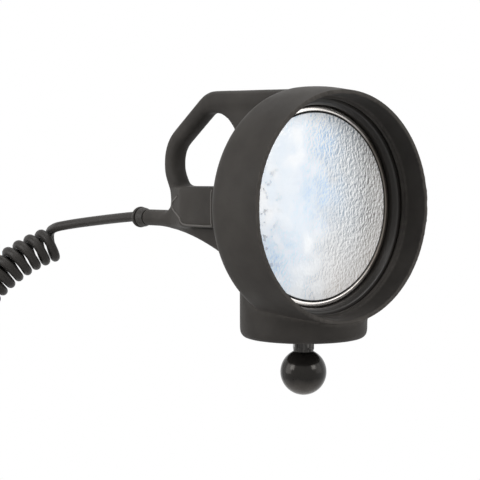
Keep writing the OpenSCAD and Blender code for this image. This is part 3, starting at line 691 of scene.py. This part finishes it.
class SPOTLIGHT_OT_lamp_rings(bpy.types.Operator):
    """Retaining ring, bright bezel and the thin gasket round the lens"""
    bl_idname = "spotlight.lamp_rings"
    bl_label = "Lamp rings"

    def execute(self, context):
        level = context.scene.spotlight_housing.ring_level
        ring = rounded([(54.8, 20.0), (56.2, 17.0), (59.1, 17.0), (59.1, 24.0), (54.8, 24.0)],
                       [0.8, 0.9, 0.5, 0.3, 0.3])
        finish(lathe("retaining_ring_band", ring, about_lamp),
               rubber("ring_rubber", level, 0.05, 0.36, spread=3, specular=0.3),
               nodes=["retaining_ring"])
        bezel = rounded([(51.3, 22.9), (51.9, 22.1), (53.8, 22.2), (54.6, 23.2), (54.6, 24.1), (57.15, 24.1),
                         (57.15, 26.9), (51.3, 26.9)], [0.3, 0.8, 0.8, 0.4, 0.2, 0.3, 0.3, 0.2], 5)
        # the bright bezel gets painted shade on its side towards the hood
        finish(lathe("lamp_bezel_bright", bezel, about_lamp),
               side_shaded_metal("bezel_metal", 222, 96), nodes=["lamp_bezel"])
        gasket = rounded([(50.65, 22.5), (51.25, 22.5), (51.25, 24.3), (50.65, 24.3)], [0.2] * 4)
        finish(lathe("lens_gasket_band", gasket, about_lamp),
               rubber("gasket_rubber", 34, 0.0, 0.5, spread=3), nodes=["lens_gasket"])
        return {"FINISHED"}


def lens_mesh(count):
    """Domed disc on a square grid mapped to the circle, with a skirt and a flat back."""
    radius, front, sag, back = LENS_RADIUS, 22.7, 3.0, 25.7
    dome = (radius ** 2 + sag ** 2) / (2 * sag)
    points = []
    for j in range(count + 1):
        v = 2 * j / count - 1
        for i in range(count + 1):
            u = 2 * i / count - 1
            x = u * math.sqrt(1 - v * v / 2) * radius
            z = v * math.sqrt(1 - u * u / 2) * radius
            flat = min(radius * radius, x * x + z * z)
            points.append(from_lip(x, front - sag + dome - math.sqrt(dome * dome - flat), z))
    row = count + 1
    faces = grid_faces(row, row, count, count)
    edge = list(range(count)) + [j * row + count for j in range(count)]
    edge += [count * row + count - i for i in range(count)] + [(count - j) * row for j in range(count)]
    first = len(points)
    points += [(points[k][0], LIP_Y + back * MM, points[k][2]) for k in edge]
    centre = len(points)
    points.append(from_lip(0, back, 0))
    total = len(edge)
    for k in range(total):
        m = (k + 1) % total
        faces.append((edge[k], first + k, first + m, edge[m]))
        faces.append((first + k, centre, first + m))
    return mesh_from("lens_pebbled", points, faces, 1e-7)


def pebble_share(points):
    """How high the pebbles stand: none at the rim and the back, low where the lens looks clear."""
    x, depth, height = to_lip(points)
    rim, back, clear_x, clear_radius = 49.6, 23.2, -26, 10
    share = np.clip((rim - np.hypot(x, height)) / 1.6, 0, 1) * (depth < back)
    return share * np.clip((np.hypot(x - clear_x, height) - clear_radius) / 38, 0.3, 1)


def pebble_tree(material):
    """Raises rounded pebbles along the surface, as high as the relief attribute lets them."""
    graph, inputs, keys = geometry_graph("lens_pebbles", ("Pebble size", "NodeSocketFloat"),
                                         ("Pebble height", "NodeSocketFloat"))
    size = graph.node("ShaderNodeCombineXYZ", *[inputs["Pebble size"]] * 3)
    place = graph.node("GeometryNodeInputPosition")
    shrunk = graph.vectors("DIVIDE", place.outputs[0], size.outputs[0])
    cells = graph.node("ShaderNodeTexVoronoi", setup={"feature": "SMOOTH_F1"}, Vector=shrunk, Scale=1.0,
                       Smoothness=0.35)
    dome = graph.span(cells.outputs["Distance"], 0.0, 0.7, 1.0, 0.0)
    share = graph.node("GeometryNodeInputNamedAttribute", setup={"data_type": "FLOAT"}, Name="relief")
    height = graph.maths("MULTIPLY", dome, inputs["Pebble height"])
    height = graph.maths("MULTIPLY", height, share.outputs["Attribute"])
    lift = graph.vectors("SCALE", graph.node("GeometryNodeInputNormal").outputs[0], Scale=height)
    move = graph.node("GeometryNodeSetPosition", Geometry=inputs["Geometry"], Offset=lift)
    put_out(graph, move.outputs[0], material)
    return graph.tree, keys


def round_patch(s, where, x, z, inner, outer):
    """1 within the inner distance of a place on the lens, falling to 0 at the outer one."""
    away = s.vectors("DISTANCE", where, (x * MM, LENS_APEX * MM + LIP_Y, z * MM), output="Value")
    return s.span(away, inner * MM, outer * MM, 1, 0)


def lens_glass():
    """Pressed glass over bright reflectors, coloured with painted light: a painted reflection makes it white
    at one side, then bluish, then grey with clear pebbles that get painted light and shade, and it glows a
    little in place of light.
    """
    # painted glow: the lens glows in its own colour, though the lamp is not lit
    s = Surface("lens_glass", Roughness=0.16, IOR=1.5, Emission_Strength=0.28)
    where = s.placed(place=(0, 0, -AXIS_Z))
    axes = s.axes(where)
    across = s.span(axes["X"], -LENS_RADIUS * MM, LENS_RADIUS * MM, 0, 1)
    # painted reflection: the colour runs from white on one side to grey on the other
    base = s.ramp(across, [(0.0, shade(248, -0.035)), (0.4, shade(242, -0.035)), (0.56, shade(212, -0.02)),
                           (0.72, shade(198, -0.02)), (0.86, shade(186)), (1.0, shade(202, 0.01))])
    low = s.span(axes["Z"], -0.045, -0.005, 0.7, 0)
    base = s.laid(base, shade(230, 0.02), low, s.span(across, 0.3, 0.6, 0, 1))
    # painted reflection: bright blocks on the white side, where the reflectors behind mirror the light
    blocks = s.span(s.noise(0.01, 3, where), 0.4, 0.6, 0, 1)
    base = s.laid(base, shade(254, -0.01), blocks, s.span(across, 0.4, 0.64, 1, 0))
    cloud = s.span(s.noise(0.009, 4, where), 0.36, 0.64, 0.2, 0.95)
    for x, z, inner, outer in ((-2, 6, 0, 24), (4, 34, 0, 17), (-30, -26, 2, 22), (-45, -16, 1, 8)):
        base = s.laid(base, shade(208, -0.125), round_patch(s, where, x, z, inner, outer), cloud)
    spots = s.span(s.noise(0.004, 2, where), 0.56, 0.64, 0, 0.7)
    base = s.laid(base, shade(164, -0.02), spots, s.span(across, 0.1, 0.26, 1, 0))
    # painted light and shade: two offset noises give each pebble a lit and a shaded side
    pebbles = [s.noise(0.0018, 2, s.placed((1.25, 1, 0.85), (0, math.radians(-38), 0), place))
               for place in ((0, 0, 0), (0.0006, 0, 0.0002))]
    slope = s.span(s.maths("SUBTRACT", *pebbles), -0.2, 0.2, 0, 1)
    relief = s.ramp(slope, [(0.1, shade(70)), (0.5, shade(188)), (0.9, shade(250))])
    share = s.span(round_patch(s, where, -28, 0, 22, 48), 0, 1, 0.9, 0.14)
    base = s.mix(share, base, relief, "OVERLAY")
    return s.set(Base_Color=base, Emission_Color=base)


class SPOTLIGHT_OT_lens(bpy.types.Operator):
    """Pebbled lens of the sealed lamp"""
    bl_idname = "spotlight.lens"
    bl_label = "Lens"

    def execute(self, context):
        settings = context.scene.spotlight_lamp
        piece = new_piece("lens_pebbled", lens_mesh(settings.grid))
        store_value(piece.data, "relief", pebble_share(mesh_points(piece.data)))
        material = lens_glass()
        run_tree(piece, *pebble_tree(material), (settings.pebble, settings.relief))
        finish(piece, material, nodes=["lens"])
        return {"FINISHED"}


class SPOTLIGHT_OT_lamp_inside(bpy.types.Operator):
    """Finishes of what lies inside the lamp, the box, the foot and the plug"""
    bl_idname = "spotlight.lamp_inside"
    bl_label = "Inside of the lamp"

    def execute(self, context):
        steel = metal("steel", 178, 0.0, 0.28, size=0.0015)
        dark = plastic("dark_plastic", 36)
        for material, *nodes in (
            (metal("cast_aluminium", 150, 0.0, 0.45, size=0.0012, depth=0.00005, spread=14), "lamp_body"),
            (metal("reflector_mirror", 232, 0.0, 0.08, size=0.004, spread=6), "reflector_array"),
            (metal("brass", 190, 0.16, 0.28, size=0.0015), "terminal_screws"),
            (plastic("board_white", 236, 0.01, 0.45), "led_board"),
            (plastic("led_yellow", 226, 0.22, 0.3), "leds"),
            (plastic("board_green", 70, -0.25, 0.4), "driver_board"),
            (wire("wire_red", 0.9), "lead_lamp"),
            (wire("wire_red_switch", 0.9), "lead_switch"),
            (wire("wire_black", 0.0), "lead_return"),
            (dark, "driver_parts", "rear_insulator", "switch_body"),
            (steel, "board_screws", "ring_terminals", "foot_plate", "foot_washer", "foot_nut",
             "cable_ferrule", "plug_fuse"),
        ):
            for node in nodes:
                wear(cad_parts[node], material)
        return {"FINISHED"}


# Foot and switch


class FootSettings(bpy.types.PropertyGroup):
    ball_level: bpy.props.FloatProperty(
        name="Ball grey", description="Grey level of the ball, out of 255", default=14)
    seam: bpy.props.FloatProperty(
        name="Seam", description="Height of the ball's seam", default=0.00006, unit="LENGTH", precision=5)


def ball_gloss(level):
    """Glossy black with painted reflection: palest at its foot, where it stands for the mirrored pale floor,
    and a little paler at the top.
    """
    s = Surface("ball_gloss", Specular_IOR_Level=0.24, Specular_Tint=(1, 0.95, 0.89, 1))
    height = s.maths("ADD", s.axes()["Z"], s.drift(0.006, 4, -0.0008, 0.0008))
    # painted reflection: the grey rises towards the foot and a little towards the top
    stops = [(place, shade(level + reflection_lift, 0.05)) for place, reflection_lift in ((0.0, 78), (0.4, 4), (1.0, 26))]
    colour = s.ramp(s.span(height, -BALL_RADIUS * MM, BALL_RADIUS * MM, 0, 1), stops)
    rough = s.drift(0.004, 4, 0.14, 0.22)
    return s.set(Base_Color=colour, Roughness=rough, Normal=s.bump(s.noise(0.003, 3), 0.00003, 0.4))


class SPOTLIGHT_OT_foot(bpy.types.Operator):
    """Glossy ball with its mould seam, on a bright hexagonal stud"""
    bl_idname = "spotlight.foot"
    bl_label = "Ball and stud"

    def execute(self, context):
        settings = context.scene.spotlight_foot
        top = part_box("ball")[1].z / MM
        radius, bore, floor, flat = BALL_RADIUS, 4.02, -4.1, 5.2
        turn = np.linspace(0, math.pi - math.acos(top / radius), 80)
        profile = [(bore, floor), (0.0, floor), (0.0, -radius)]
        profile += [(radius * math.sin(a), -radius * math.cos(a)) for a in turn[1:]]
        profile += [(flat, top), (bore, top)]
        piece = lathe("ball_gloss", profile, about_ball, 160)
        points = mesh_points(piece.data)
        length = np.linalg.norm(points, axis=1)
        across = points[:, 0] * 0.66 - points[:, 1] * 0.75
        seam_width, skin = 0.0004, 0.0125
        bulge = np.exp(-(across / seam_width) ** 2) * settings.seam * (length > skin)
        store_points(piece.data, points * (1 + bulge / np.maximum(length, 1e-6))[:, None])
        finish(piece, ball_gloss(settings.ball_level), nodes=["ball"])
        # painted reflection: a dark plate with strong vertical streaks, for dark surroundings and light
        # stripes mirrored in the stud
        plate = metal("stud_metal", 40, 0.02, 0.14, streak=(4, 4, 0.3), size=0.004, spread=38)
        dress("ball_stud", "stud_bright", 0.0003, plate)
        return {"FINISHED"}


class SPOTLIGHT_OT_switch(bpy.types.Operator):
    """Push switch on the side of the box: nut and button"""
    bl_idname = "spotlight.switch"
    bl_label = "Switch"

    def execute(self, context):
        plate = metal("nut_plate", 176, 0.0, 0.26, size=0.0015)
        dress("switch_nut", "switch_nut_plated", 0.0003, plate)
        soft = rubber("button_rubber", 28, 0.0, 0.5, spread=3)
        dress("switch_button", "switch_button_cap", 0.0006, soft, "button", segments=4)
        return {"FINISHED"}


# Cord and plug


class CordSettings(bpy.types.PropertyGroup):
    diameter: bpy.props.FloatProperty(
        name="Diameter", description="Diameter of the cord", default=0.0065, unit="LENGTH", precision=4)
    cord_level: bpy.props.FloatProperty(
        name="Cord grey", description="Grey level of the cord, out of 255", default=51)
    ribs: bpy.props.IntProperty(name="Grip ribs", description="Ribs round the plug's grip", default=26)


LEAD_START = 195.04
CURL_TOP = Vector((-11.0, 288.54, -20.0))
CURL_HEADING = math.radians(164)
CURL_DIP = math.radians(18)
CURL_RUN = 5.0
CURL_BEND = 100.0
CURL_PHASE = math.radians(7)
CURL_RAMP = 24.0
CURL_STRAIGHT = 6.5
CURL_PITCH = 8.0
CURL_RADIUS = 10.25
CURL_COUNT = 28
CURL_LENGTH = CURL_COUNT * CURL_PITCH + CURL_RAMP + CURL_STRAIGHT
BEND_LENGTH = CURL_BEND * (math.pi / 2 - CURL_DIP)
TAIL = 6.0


def curl_tilt(s):
    return min(math.pi / 2, CURL_DIP + max(0, s - CURL_RUN) / CURL_BEND)


def flat_run(distance):
    return Vector((distance * math.cos(CURL_HEADING), distance * math.sin(CURL_HEADING), 0))


def curl_axis(s):
    """Middle of the curls: a sloping run, a round bend downwards and a hanging run."""
    tilt = curl_tilt(s)
    slope = min(s, CURL_RUN)
    reach = slope * math.cos(CURL_DIP) + CURL_BEND * (math.sin(tilt) - math.sin(CURL_DIP))
    drop = slope * math.sin(CURL_DIP) + CURL_BEND * (math.cos(CURL_DIP) - math.cos(tilt))
    drop += max(0, s - CURL_RUN - BEND_LENGTH)
    return flat_run(reach) - Vector((0, 0, drop))


def curl_up(s):
    tilt = curl_tilt(s)
    return flat_run(math.sin(tilt)) + Vector((0, 0, math.cos(tilt)))


def eased(x):
    """Distance run so far while the speed rises evenly from 0 to 1."""
    if x <= 0:
        return 0
    return x - 0.5 if x >= 1 else x * x / 2


def curl_point(s):
    """Point of the curls at a distance along their middle; the last turn slows into a straight end."""
    slowed = CURL_RAMP * eased((s - CURL_LENGTH + CURL_STRAIGHT + CURL_RAMP) / CURL_RAMP)
    a = CURL_PHASE + 2 * math.pi / CURL_PITCH * (s - slowed)
    side = Vector((math.sin(CURL_HEADING), -math.cos(CURL_HEADING), 0))
    raised = math.cos(a) * curl_up(s) - math.cos(CURL_PHASE) * curl_up(0)
    return CURL_TOP + curl_axis(s) + CURL_RADIUS * (raised + (math.sin(a) - math.sin(CURL_PHASE)) * side)


def smooth_route(points, steps):
    """Smooth route through given points, straight at both ends."""
    out = [points[0]]
    for i in range(1, len(points) - 2):
        a, b, c, d = points[i - 1:i + 3]
        for k in range(steps):
            t = k / steps
            out.append(0.5 * (2 * b + (c - a) * t + (2 * a - 5 * b + 4 * c - d) * t * t
                              + (3 * b - a - 3 * c + d) * t ** 3))
    return out + points[-2:]


def eased_route(points, rounds=6):
    """Takes small kinks out of a route by averaging neighbours; both ends stay straight."""
    route = [p.copy() for p in points]
    for _ in range(rounds):
        before = [p.copy() for p in route]
        for i in range(2, len(route) - 5):
            route[i] += 0.5 * ((before[i - 1] + before[i + 1]) / 2 - before[i])
    return route


def cord_route():
    """Lead from the collar, curls and tail, in millimetres from the lip and the lamp axis."""
    way = (curl_point(0.001) - CURL_TOP).normalized()
    lead = [Vector((x, LEAD_START + run, height)) for x, run, height in
            ((0, 0, -9.5), (0, 6.5, -9.5), (-2.8, 33.5, -11.9), (-7.8, 63.5, -15.2))]
    lead += [CURL_TOP - 2 * CURL_STRAIGHT * way, CURL_TOP - CURL_STRAIGHT * way]
    steps = 26 * math.ceil(CURL_LENGTH / CURL_PITCH)
    curls = [curl_point(CURL_LENGTH * i / steps) for i in range(steps + 1)]
    tail = [curls[-1] - Vector((0, 0, TAIL * i / 4)) for i in range(1, 5)]
    return eased_route(smooth_route(lead, 16) + curls + tail)


class SPOTLIGHT_OT_cord(bpy.types.Operator):
    """Free cord from the collar to the plug, with its curls"""
    bl_idname = "spotlight.cord"
    bl_label = "Curly cord"

    def execute(self, context):
        settings = context.scene.spotlight_cord
        route = [Vector(from_lip(*p)) for p in cord_route()]
        cord = round_curve("curly_cord", [route], settings.diameter / 2, 5)
        context.scene.collection.objects.link(cord)
        material = rubber("cord_black", settings.cord_level, 0.04, 0.38, grain=0.0007, depth=0.00003,
                          specular=0.12)
        finish(cord, material, nodes=["cord_lead", "cord_curls", "cord_tail"])
        return {"FINISHED"}


class SPOTLIGHT_OT_collar(bpy.types.Operator):
    """Collar that grips the cord at the outlet, and the cable inside it"""
    bl_idname = "spotlight.collar"
    bl_label = "Collar"

    def execute(self, context):
        low = (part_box("cord_collar")[0].y - LIP_Y) / MM
        section = [(3.35, -0.8), (5.1, -0.8), (5.5, 0.8), (6.1, 2.6), (6.3, 4.6), (5.9, 5.1), (4.8, 5.2),
                   (4.8, 6.1), (6.3, 6.2), (6.8, 6.9), (6.6, 8.4), (5.4, 9.6), (4.2, 10), (3.35, 10)]
        turns = [0.1, 0.1, 2, 2, 0.5, 0.2, 0.1, 0.1, 0.3, 0.5, 0.9, 0.9, 0.3, 0.1]
        profile = rounded([(r, low + y) for r, y in section], turns)
        finish(lathe("cord_collar_grip", profile, about_outlet, 96),
               rubber("collar_rubber", 56, 0.04, 0.48), nodes=["cord_collar"])
        wear(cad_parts["cable_inner"], rubber("cable_rubber", 40, 0.0, 0.42, spread=3))
        return {"FINISHED"}


def rib_tree(material):
    """Repeats one rib round the plug's grip."""
    graph, inputs, keys = geometry_graph("grip_ribs", ("Ribs", "NodeSocketInt"),
                                         ("Grip radius", "NodeSocketFloat"))
    circle = graph.node("GeometryNodeMeshCircle", Vertices=inputs["Ribs"], Radius=inputs["Grip radius"])
    ribs = graph.node("GeometryNodeInstanceOnPoints", Points=circle.outputs[0], Instance=inputs["Geometry"])
    move = graph.node("GeometryNodeTransform", ribs.outputs[0], Translation=(PLUG_X, PLUG_Y, 0))
    put_out(graph, move.outputs[0], material)
    return graph.tree, keys


class SPOTLIGHT_OT_plug(bpy.types.Operator):
    """Plug at the cord's end: boot, ribbed grip, barrel, nose ring, sprung tip and side contacts"""
    bl_idname = "spotlight.plug"
    bl_label = "Plug"

    def execute(self, context):
        settings = context.scene.spotlight_cord
        black = plastic("plug_black", 32, 0.0, 0.38)
        soft = rubber("boot_rubber", 34, 0.0, 0.5, spread=3)
        dress("plug_relief", "plug_relief_boot", 0.0003, soft)
        dress("plug_body", "plug_body_grip", 0.0005, black, angle=25)
        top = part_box("plug_body")[1].z / MM
        section = ((0, 25.2), (0.5, 24.7), (0.7, 23.9), (0.7, 6.5), (0.5, 5.7), (0, 5.2))
        ribs = lathe("plug_grip_ribs", [(r, top - drop) for r, drop in section], about_ball, 12)
        grip_radius = 0.0123
        run_tree(ribs, *rib_tree(black), (settings.ribs, grip_radius))
        finish(ribs, black)
        nose = plastic("nose_black", 38, 0.0, 0.34)
        dress("plug_nose_cap", "plug_nose_ring", 0.0004, nose, angle=25)
        bright = metal("plug_metal", 210, 0.02, 0.2)
        dress("plug_tip", "plug_tip_bright", 0.0005, bright, "tip", angle=25)
        coil = cad_copy("plug_spring", "plug_spring_coil")
        wear(coil, metal("spring_steel", 178, 0.0, 0.28, size=0.0015))
        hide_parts("plug_spring")
        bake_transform(coil)
        brass = metal("plug_brass", 196, 0.14, 0.24)
        for side in ("left", "right"):
            node = "plug_contact_" + side
            dress(node, node + "_spring", 0.0004, brass, "contact_" + side, angle=25)
        return {"FINISHED"}


# Stage


class StageSettings(bpy.types.PropertyGroup):
    camera_place: bpy.props.FloatVectorProperty(
        name="Camera", description="Place of the camera",
        default=(-0.4484, -0.5044, 0.1066), subtype="XYZ", precision=4)
    camera_ahead: bpy.props.FloatVectorProperty(
        name="Ahead", description="Where the camera looks",
        default=(0.6242, 0.7796, -0.0503), subtype="XYZ", precision=4)
    camera_right: bpy.props.FloatVectorProperty(
        name="Right", description="The camera's right-hand side",
        default=(0.7806, -0.6251, -0.0021), subtype="XYZ", precision=4)
    lens: bpy.props.FloatProperty(
        name="Lens", description="Focal length on a 36 mm sensor, in millimetres", default=92.4)
    fill: bpy.props.FloatProperty(
        name="Fill", description="Strength of the surrounding light", default=0.08)
    left_power: bpy.props.FloatProperty(
        name="Left box", description="Power of the soft box on the left", default=5, unit="POWER")
    right_power: bpy.props.FloatProperty(
        name="Right box", description="Power of the soft box on the right", default=2, unit="POWER")
    glint_power: bpy.props.FloatProperty(
        name="Glints", description="Power of the two boxes that the ball shows", default=6, unit="POWER")
    top_power: bpy.props.FloatProperty(
        name="Top box", description="Power of the soft box overhead", default=7, unit="POWER")
    front_power: bpy.props.FloatProperty(
        name="Front box", description="Power of the soft box high in front", default=4, unit="POWER")
    floor_z: bpy.props.FloatProperty(
        name="Floor", description="Height of the floor", default=-0.3, unit="LENGTH")


def seen_share(graph):
    """1 for rays that the camera, a gloss or clear glass sends, 0 for others."""
    path = graph.node("ShaderNodeLightPath").outputs
    seen = graph.maths("MAXIMUM", path["Is Camera Ray"], path["Is Glossy Ray"])
    return graph.maths("MAXIMUM", seen, path["Is Transmission Ray"])


def white_world(fill):
    """Surroundings that look white and shed little light."""
    world = bpy.data.worlds.new("studio")
    bpy.context.scene.world = world
    world.use_nodes = True
    world.node_tree.nodes.clear()
    graph = Graph(world.node_tree)
    both = [graph.node("ShaderNodeBackground", (1, 1, 1, 1), strength).outputs[0] for strength in (fill, 1.0)]
    mix = graph.node("ShaderNodeMixShader", seen_share(graph), *both)
    graph.node("ShaderNodeOutputWorld", mix.outputs[0])


def floor_paint():
    """Pale floor: white to the camera, with what is left of the object's shadow near the middle."""
    s = Surface("floor_pale", Base_Color=(0.86, 0.86, 0.86, 1), Roughness=0.9)
    away = s.vectors("LENGTH", s.where, output="Value")
    share = s.maths("MULTIPLY", seen_share(s), s.span(away, 0.3, 1.0, 0.8, 1.0))
    glow = s.node("ShaderNodeEmission")
    mix = s.node("ShaderNodeMixShader", share, s.shader.outputs[0], glow.outputs[0])
    s.feed(s.tree.nodes["Material Output"].inputs["Surface"], mix.outputs[0])
    return s.material


class SPOTLIGHT_OT_stage(bpy.types.Operator):
    """Camera, white surroundings, pale floor and soft boxes"""
    bl_idname = "spotlight.stage"
    bl_label = "Stage"

    def execute(self, context):
        settings = context.scene.spotlight_stage
        context.scene.view_settings.view_transform = "Standard"
        ahead = Vector(settings.camera_ahead).normalized()
        right = Vector(settings.camera_right)
        right = (right - right.dot(ahead) * ahead).normalized()
        up = right.cross(ahead)
        data = bpy.data.cameras.new("camera")
        data.lens = settings.lens
        data.sensor_width = 36
        data.clip_start = 0.01
        camera = new_piece("camera", data)
        turn = Matrix((right, up, -ahead)).transposed().to_4x4()
        camera.matrix_world = Matrix.Translation(settings.camera_place) @ turn
        context.scene.camera = camera
        white_world(settings.fill)
        half = 3.0
        corners = [(half * x, half * y, settings.floor_z) for x, y in ((-1, -1), (1, -1), (1, 1), (-1, 1))]
        floor = new_piece("floor", mesh_from("floor", corners, [(0, 1, 2, 3)]))
        wear(floor, floor_paint())
        target = Vector((0, 0, 0.06))
        reach = 1.3
        for name, a, b, c, width, height, power in (
            ("soft_box_left", -0.98, 0.15, 0.12, 0.8, 0.8, settings.left_power),
            ("soft_box_right", 0.95, 0.2, 0.15, 0.8, 0.8, settings.right_power),
            ("glint_left", -0.85, 0.38, 0.42, 0.5, 0.6, settings.glint_power),
            ("glint_right", 0.74, 0.42, 0.54, 0.5, 0.56, settings.glint_power),
            ("soft_box_top", -0.1, 1, -0.15, 0.9, 0.7, settings.top_power),
            ("soft_box_front", -0.3, 0.72, 0.62, 0.5, 0.4, settings.front_power),
        ):
            light = bpy.data.lights.new(name, "AREA")
            light.shape = "RECTANGLE"
            light.size = width
            light.size_y = height
            light.energy = power
            box = new_piece(name, light)
            box.location = target + reach * (a * right + b * up - c * ahead)
            box.rotation_euler = (target - box.location).to_track_quat("-Z", "Y").to_euler()
        return {"FINISHED"}


# Panel and registration


class SPOTLIGHT_PT_panel(bpy.types.Panel):
    """Lists the spotlight's pieces and their sizes"""
    bl_idname = "SPOTLIGHT_PT_panel"
    bl_label = "Spotlight"
    bl_space_type = "VIEW_3D"
    bl_region_type = "UI"
    bl_category = "Spotlight"

    def draw(self, context):
        for group, _, names in GROUPS:
            settings = getattr(context.scene, group)
            column = self.layout.column(align=True)
            for name in names:
                column.operator("spotlight." + name)
            for key in settings.bl_rna.properties.keys():
                if key not in ("rna_type", "name"):
                    column.prop(settings, key)


GROUPS = (
    ("spotlight_stage", StageSettings, ("stage",)),
    ("spotlight_cord", CordSettings, ("plug", "cord", "collar")),
    ("spotlight_housing", HousingSettings, ("housing",)),
    ("spotlight_lamp", LampSettings, ("lamp_rings", "lens", "lamp_inside")),
    ("spotlight_foot", FootSettings, ("foot", "switch")),
)

CLASSES = (
    SPOTLIGHT_OT_stage, SPOTLIGHT_OT_plug, SPOTLIGHT_OT_cord, SPOTLIGHT_OT_collar, SPOTLIGHT_OT_housing,
    SPOTLIGHT_OT_lamp_rings, SPOTLIGHT_OT_lens, SPOTLIGHT_OT_lamp_inside, SPOTLIGHT_OT_foot,
    SPOTLIGHT_OT_switch, SPOTLIGHT_PT_panel,
)


def register():
    for name, group, _ in GROUPS:
        bpy.utils.register_class(group)
        setattr(bpy.types.Scene, name, bpy.props.PointerProperty(type=group))
    for item in CLASSES:
        bpy.utils.register_class(item)


def unregister():
    for item in reversed(CLASSES):
        bpy.utils.unregister_class(item)
    for name, group, _ in reversed(GROUPS):
        delattr(bpy.types.Scene, name)
        bpy.utils.unregister_class(group)


def main():
    register()
    bpy.ops.spotlight.stage()
    bpy.ops.spotlight.plug()
    bpy.ops.spotlight.collar()
    bpy.ops.spotlight.cord()
    bpy.ops.spotlight.housing()
    bpy.ops.spotlight.lamp_rings()
    bpy.ops.spotlight.lens()
    bpy.ops.spotlight.lamp_inside()
    bpy.ops.spotlight.foot()
    bpy.ops.spotlight.switch()


if __name__ == "__main__":
    main()
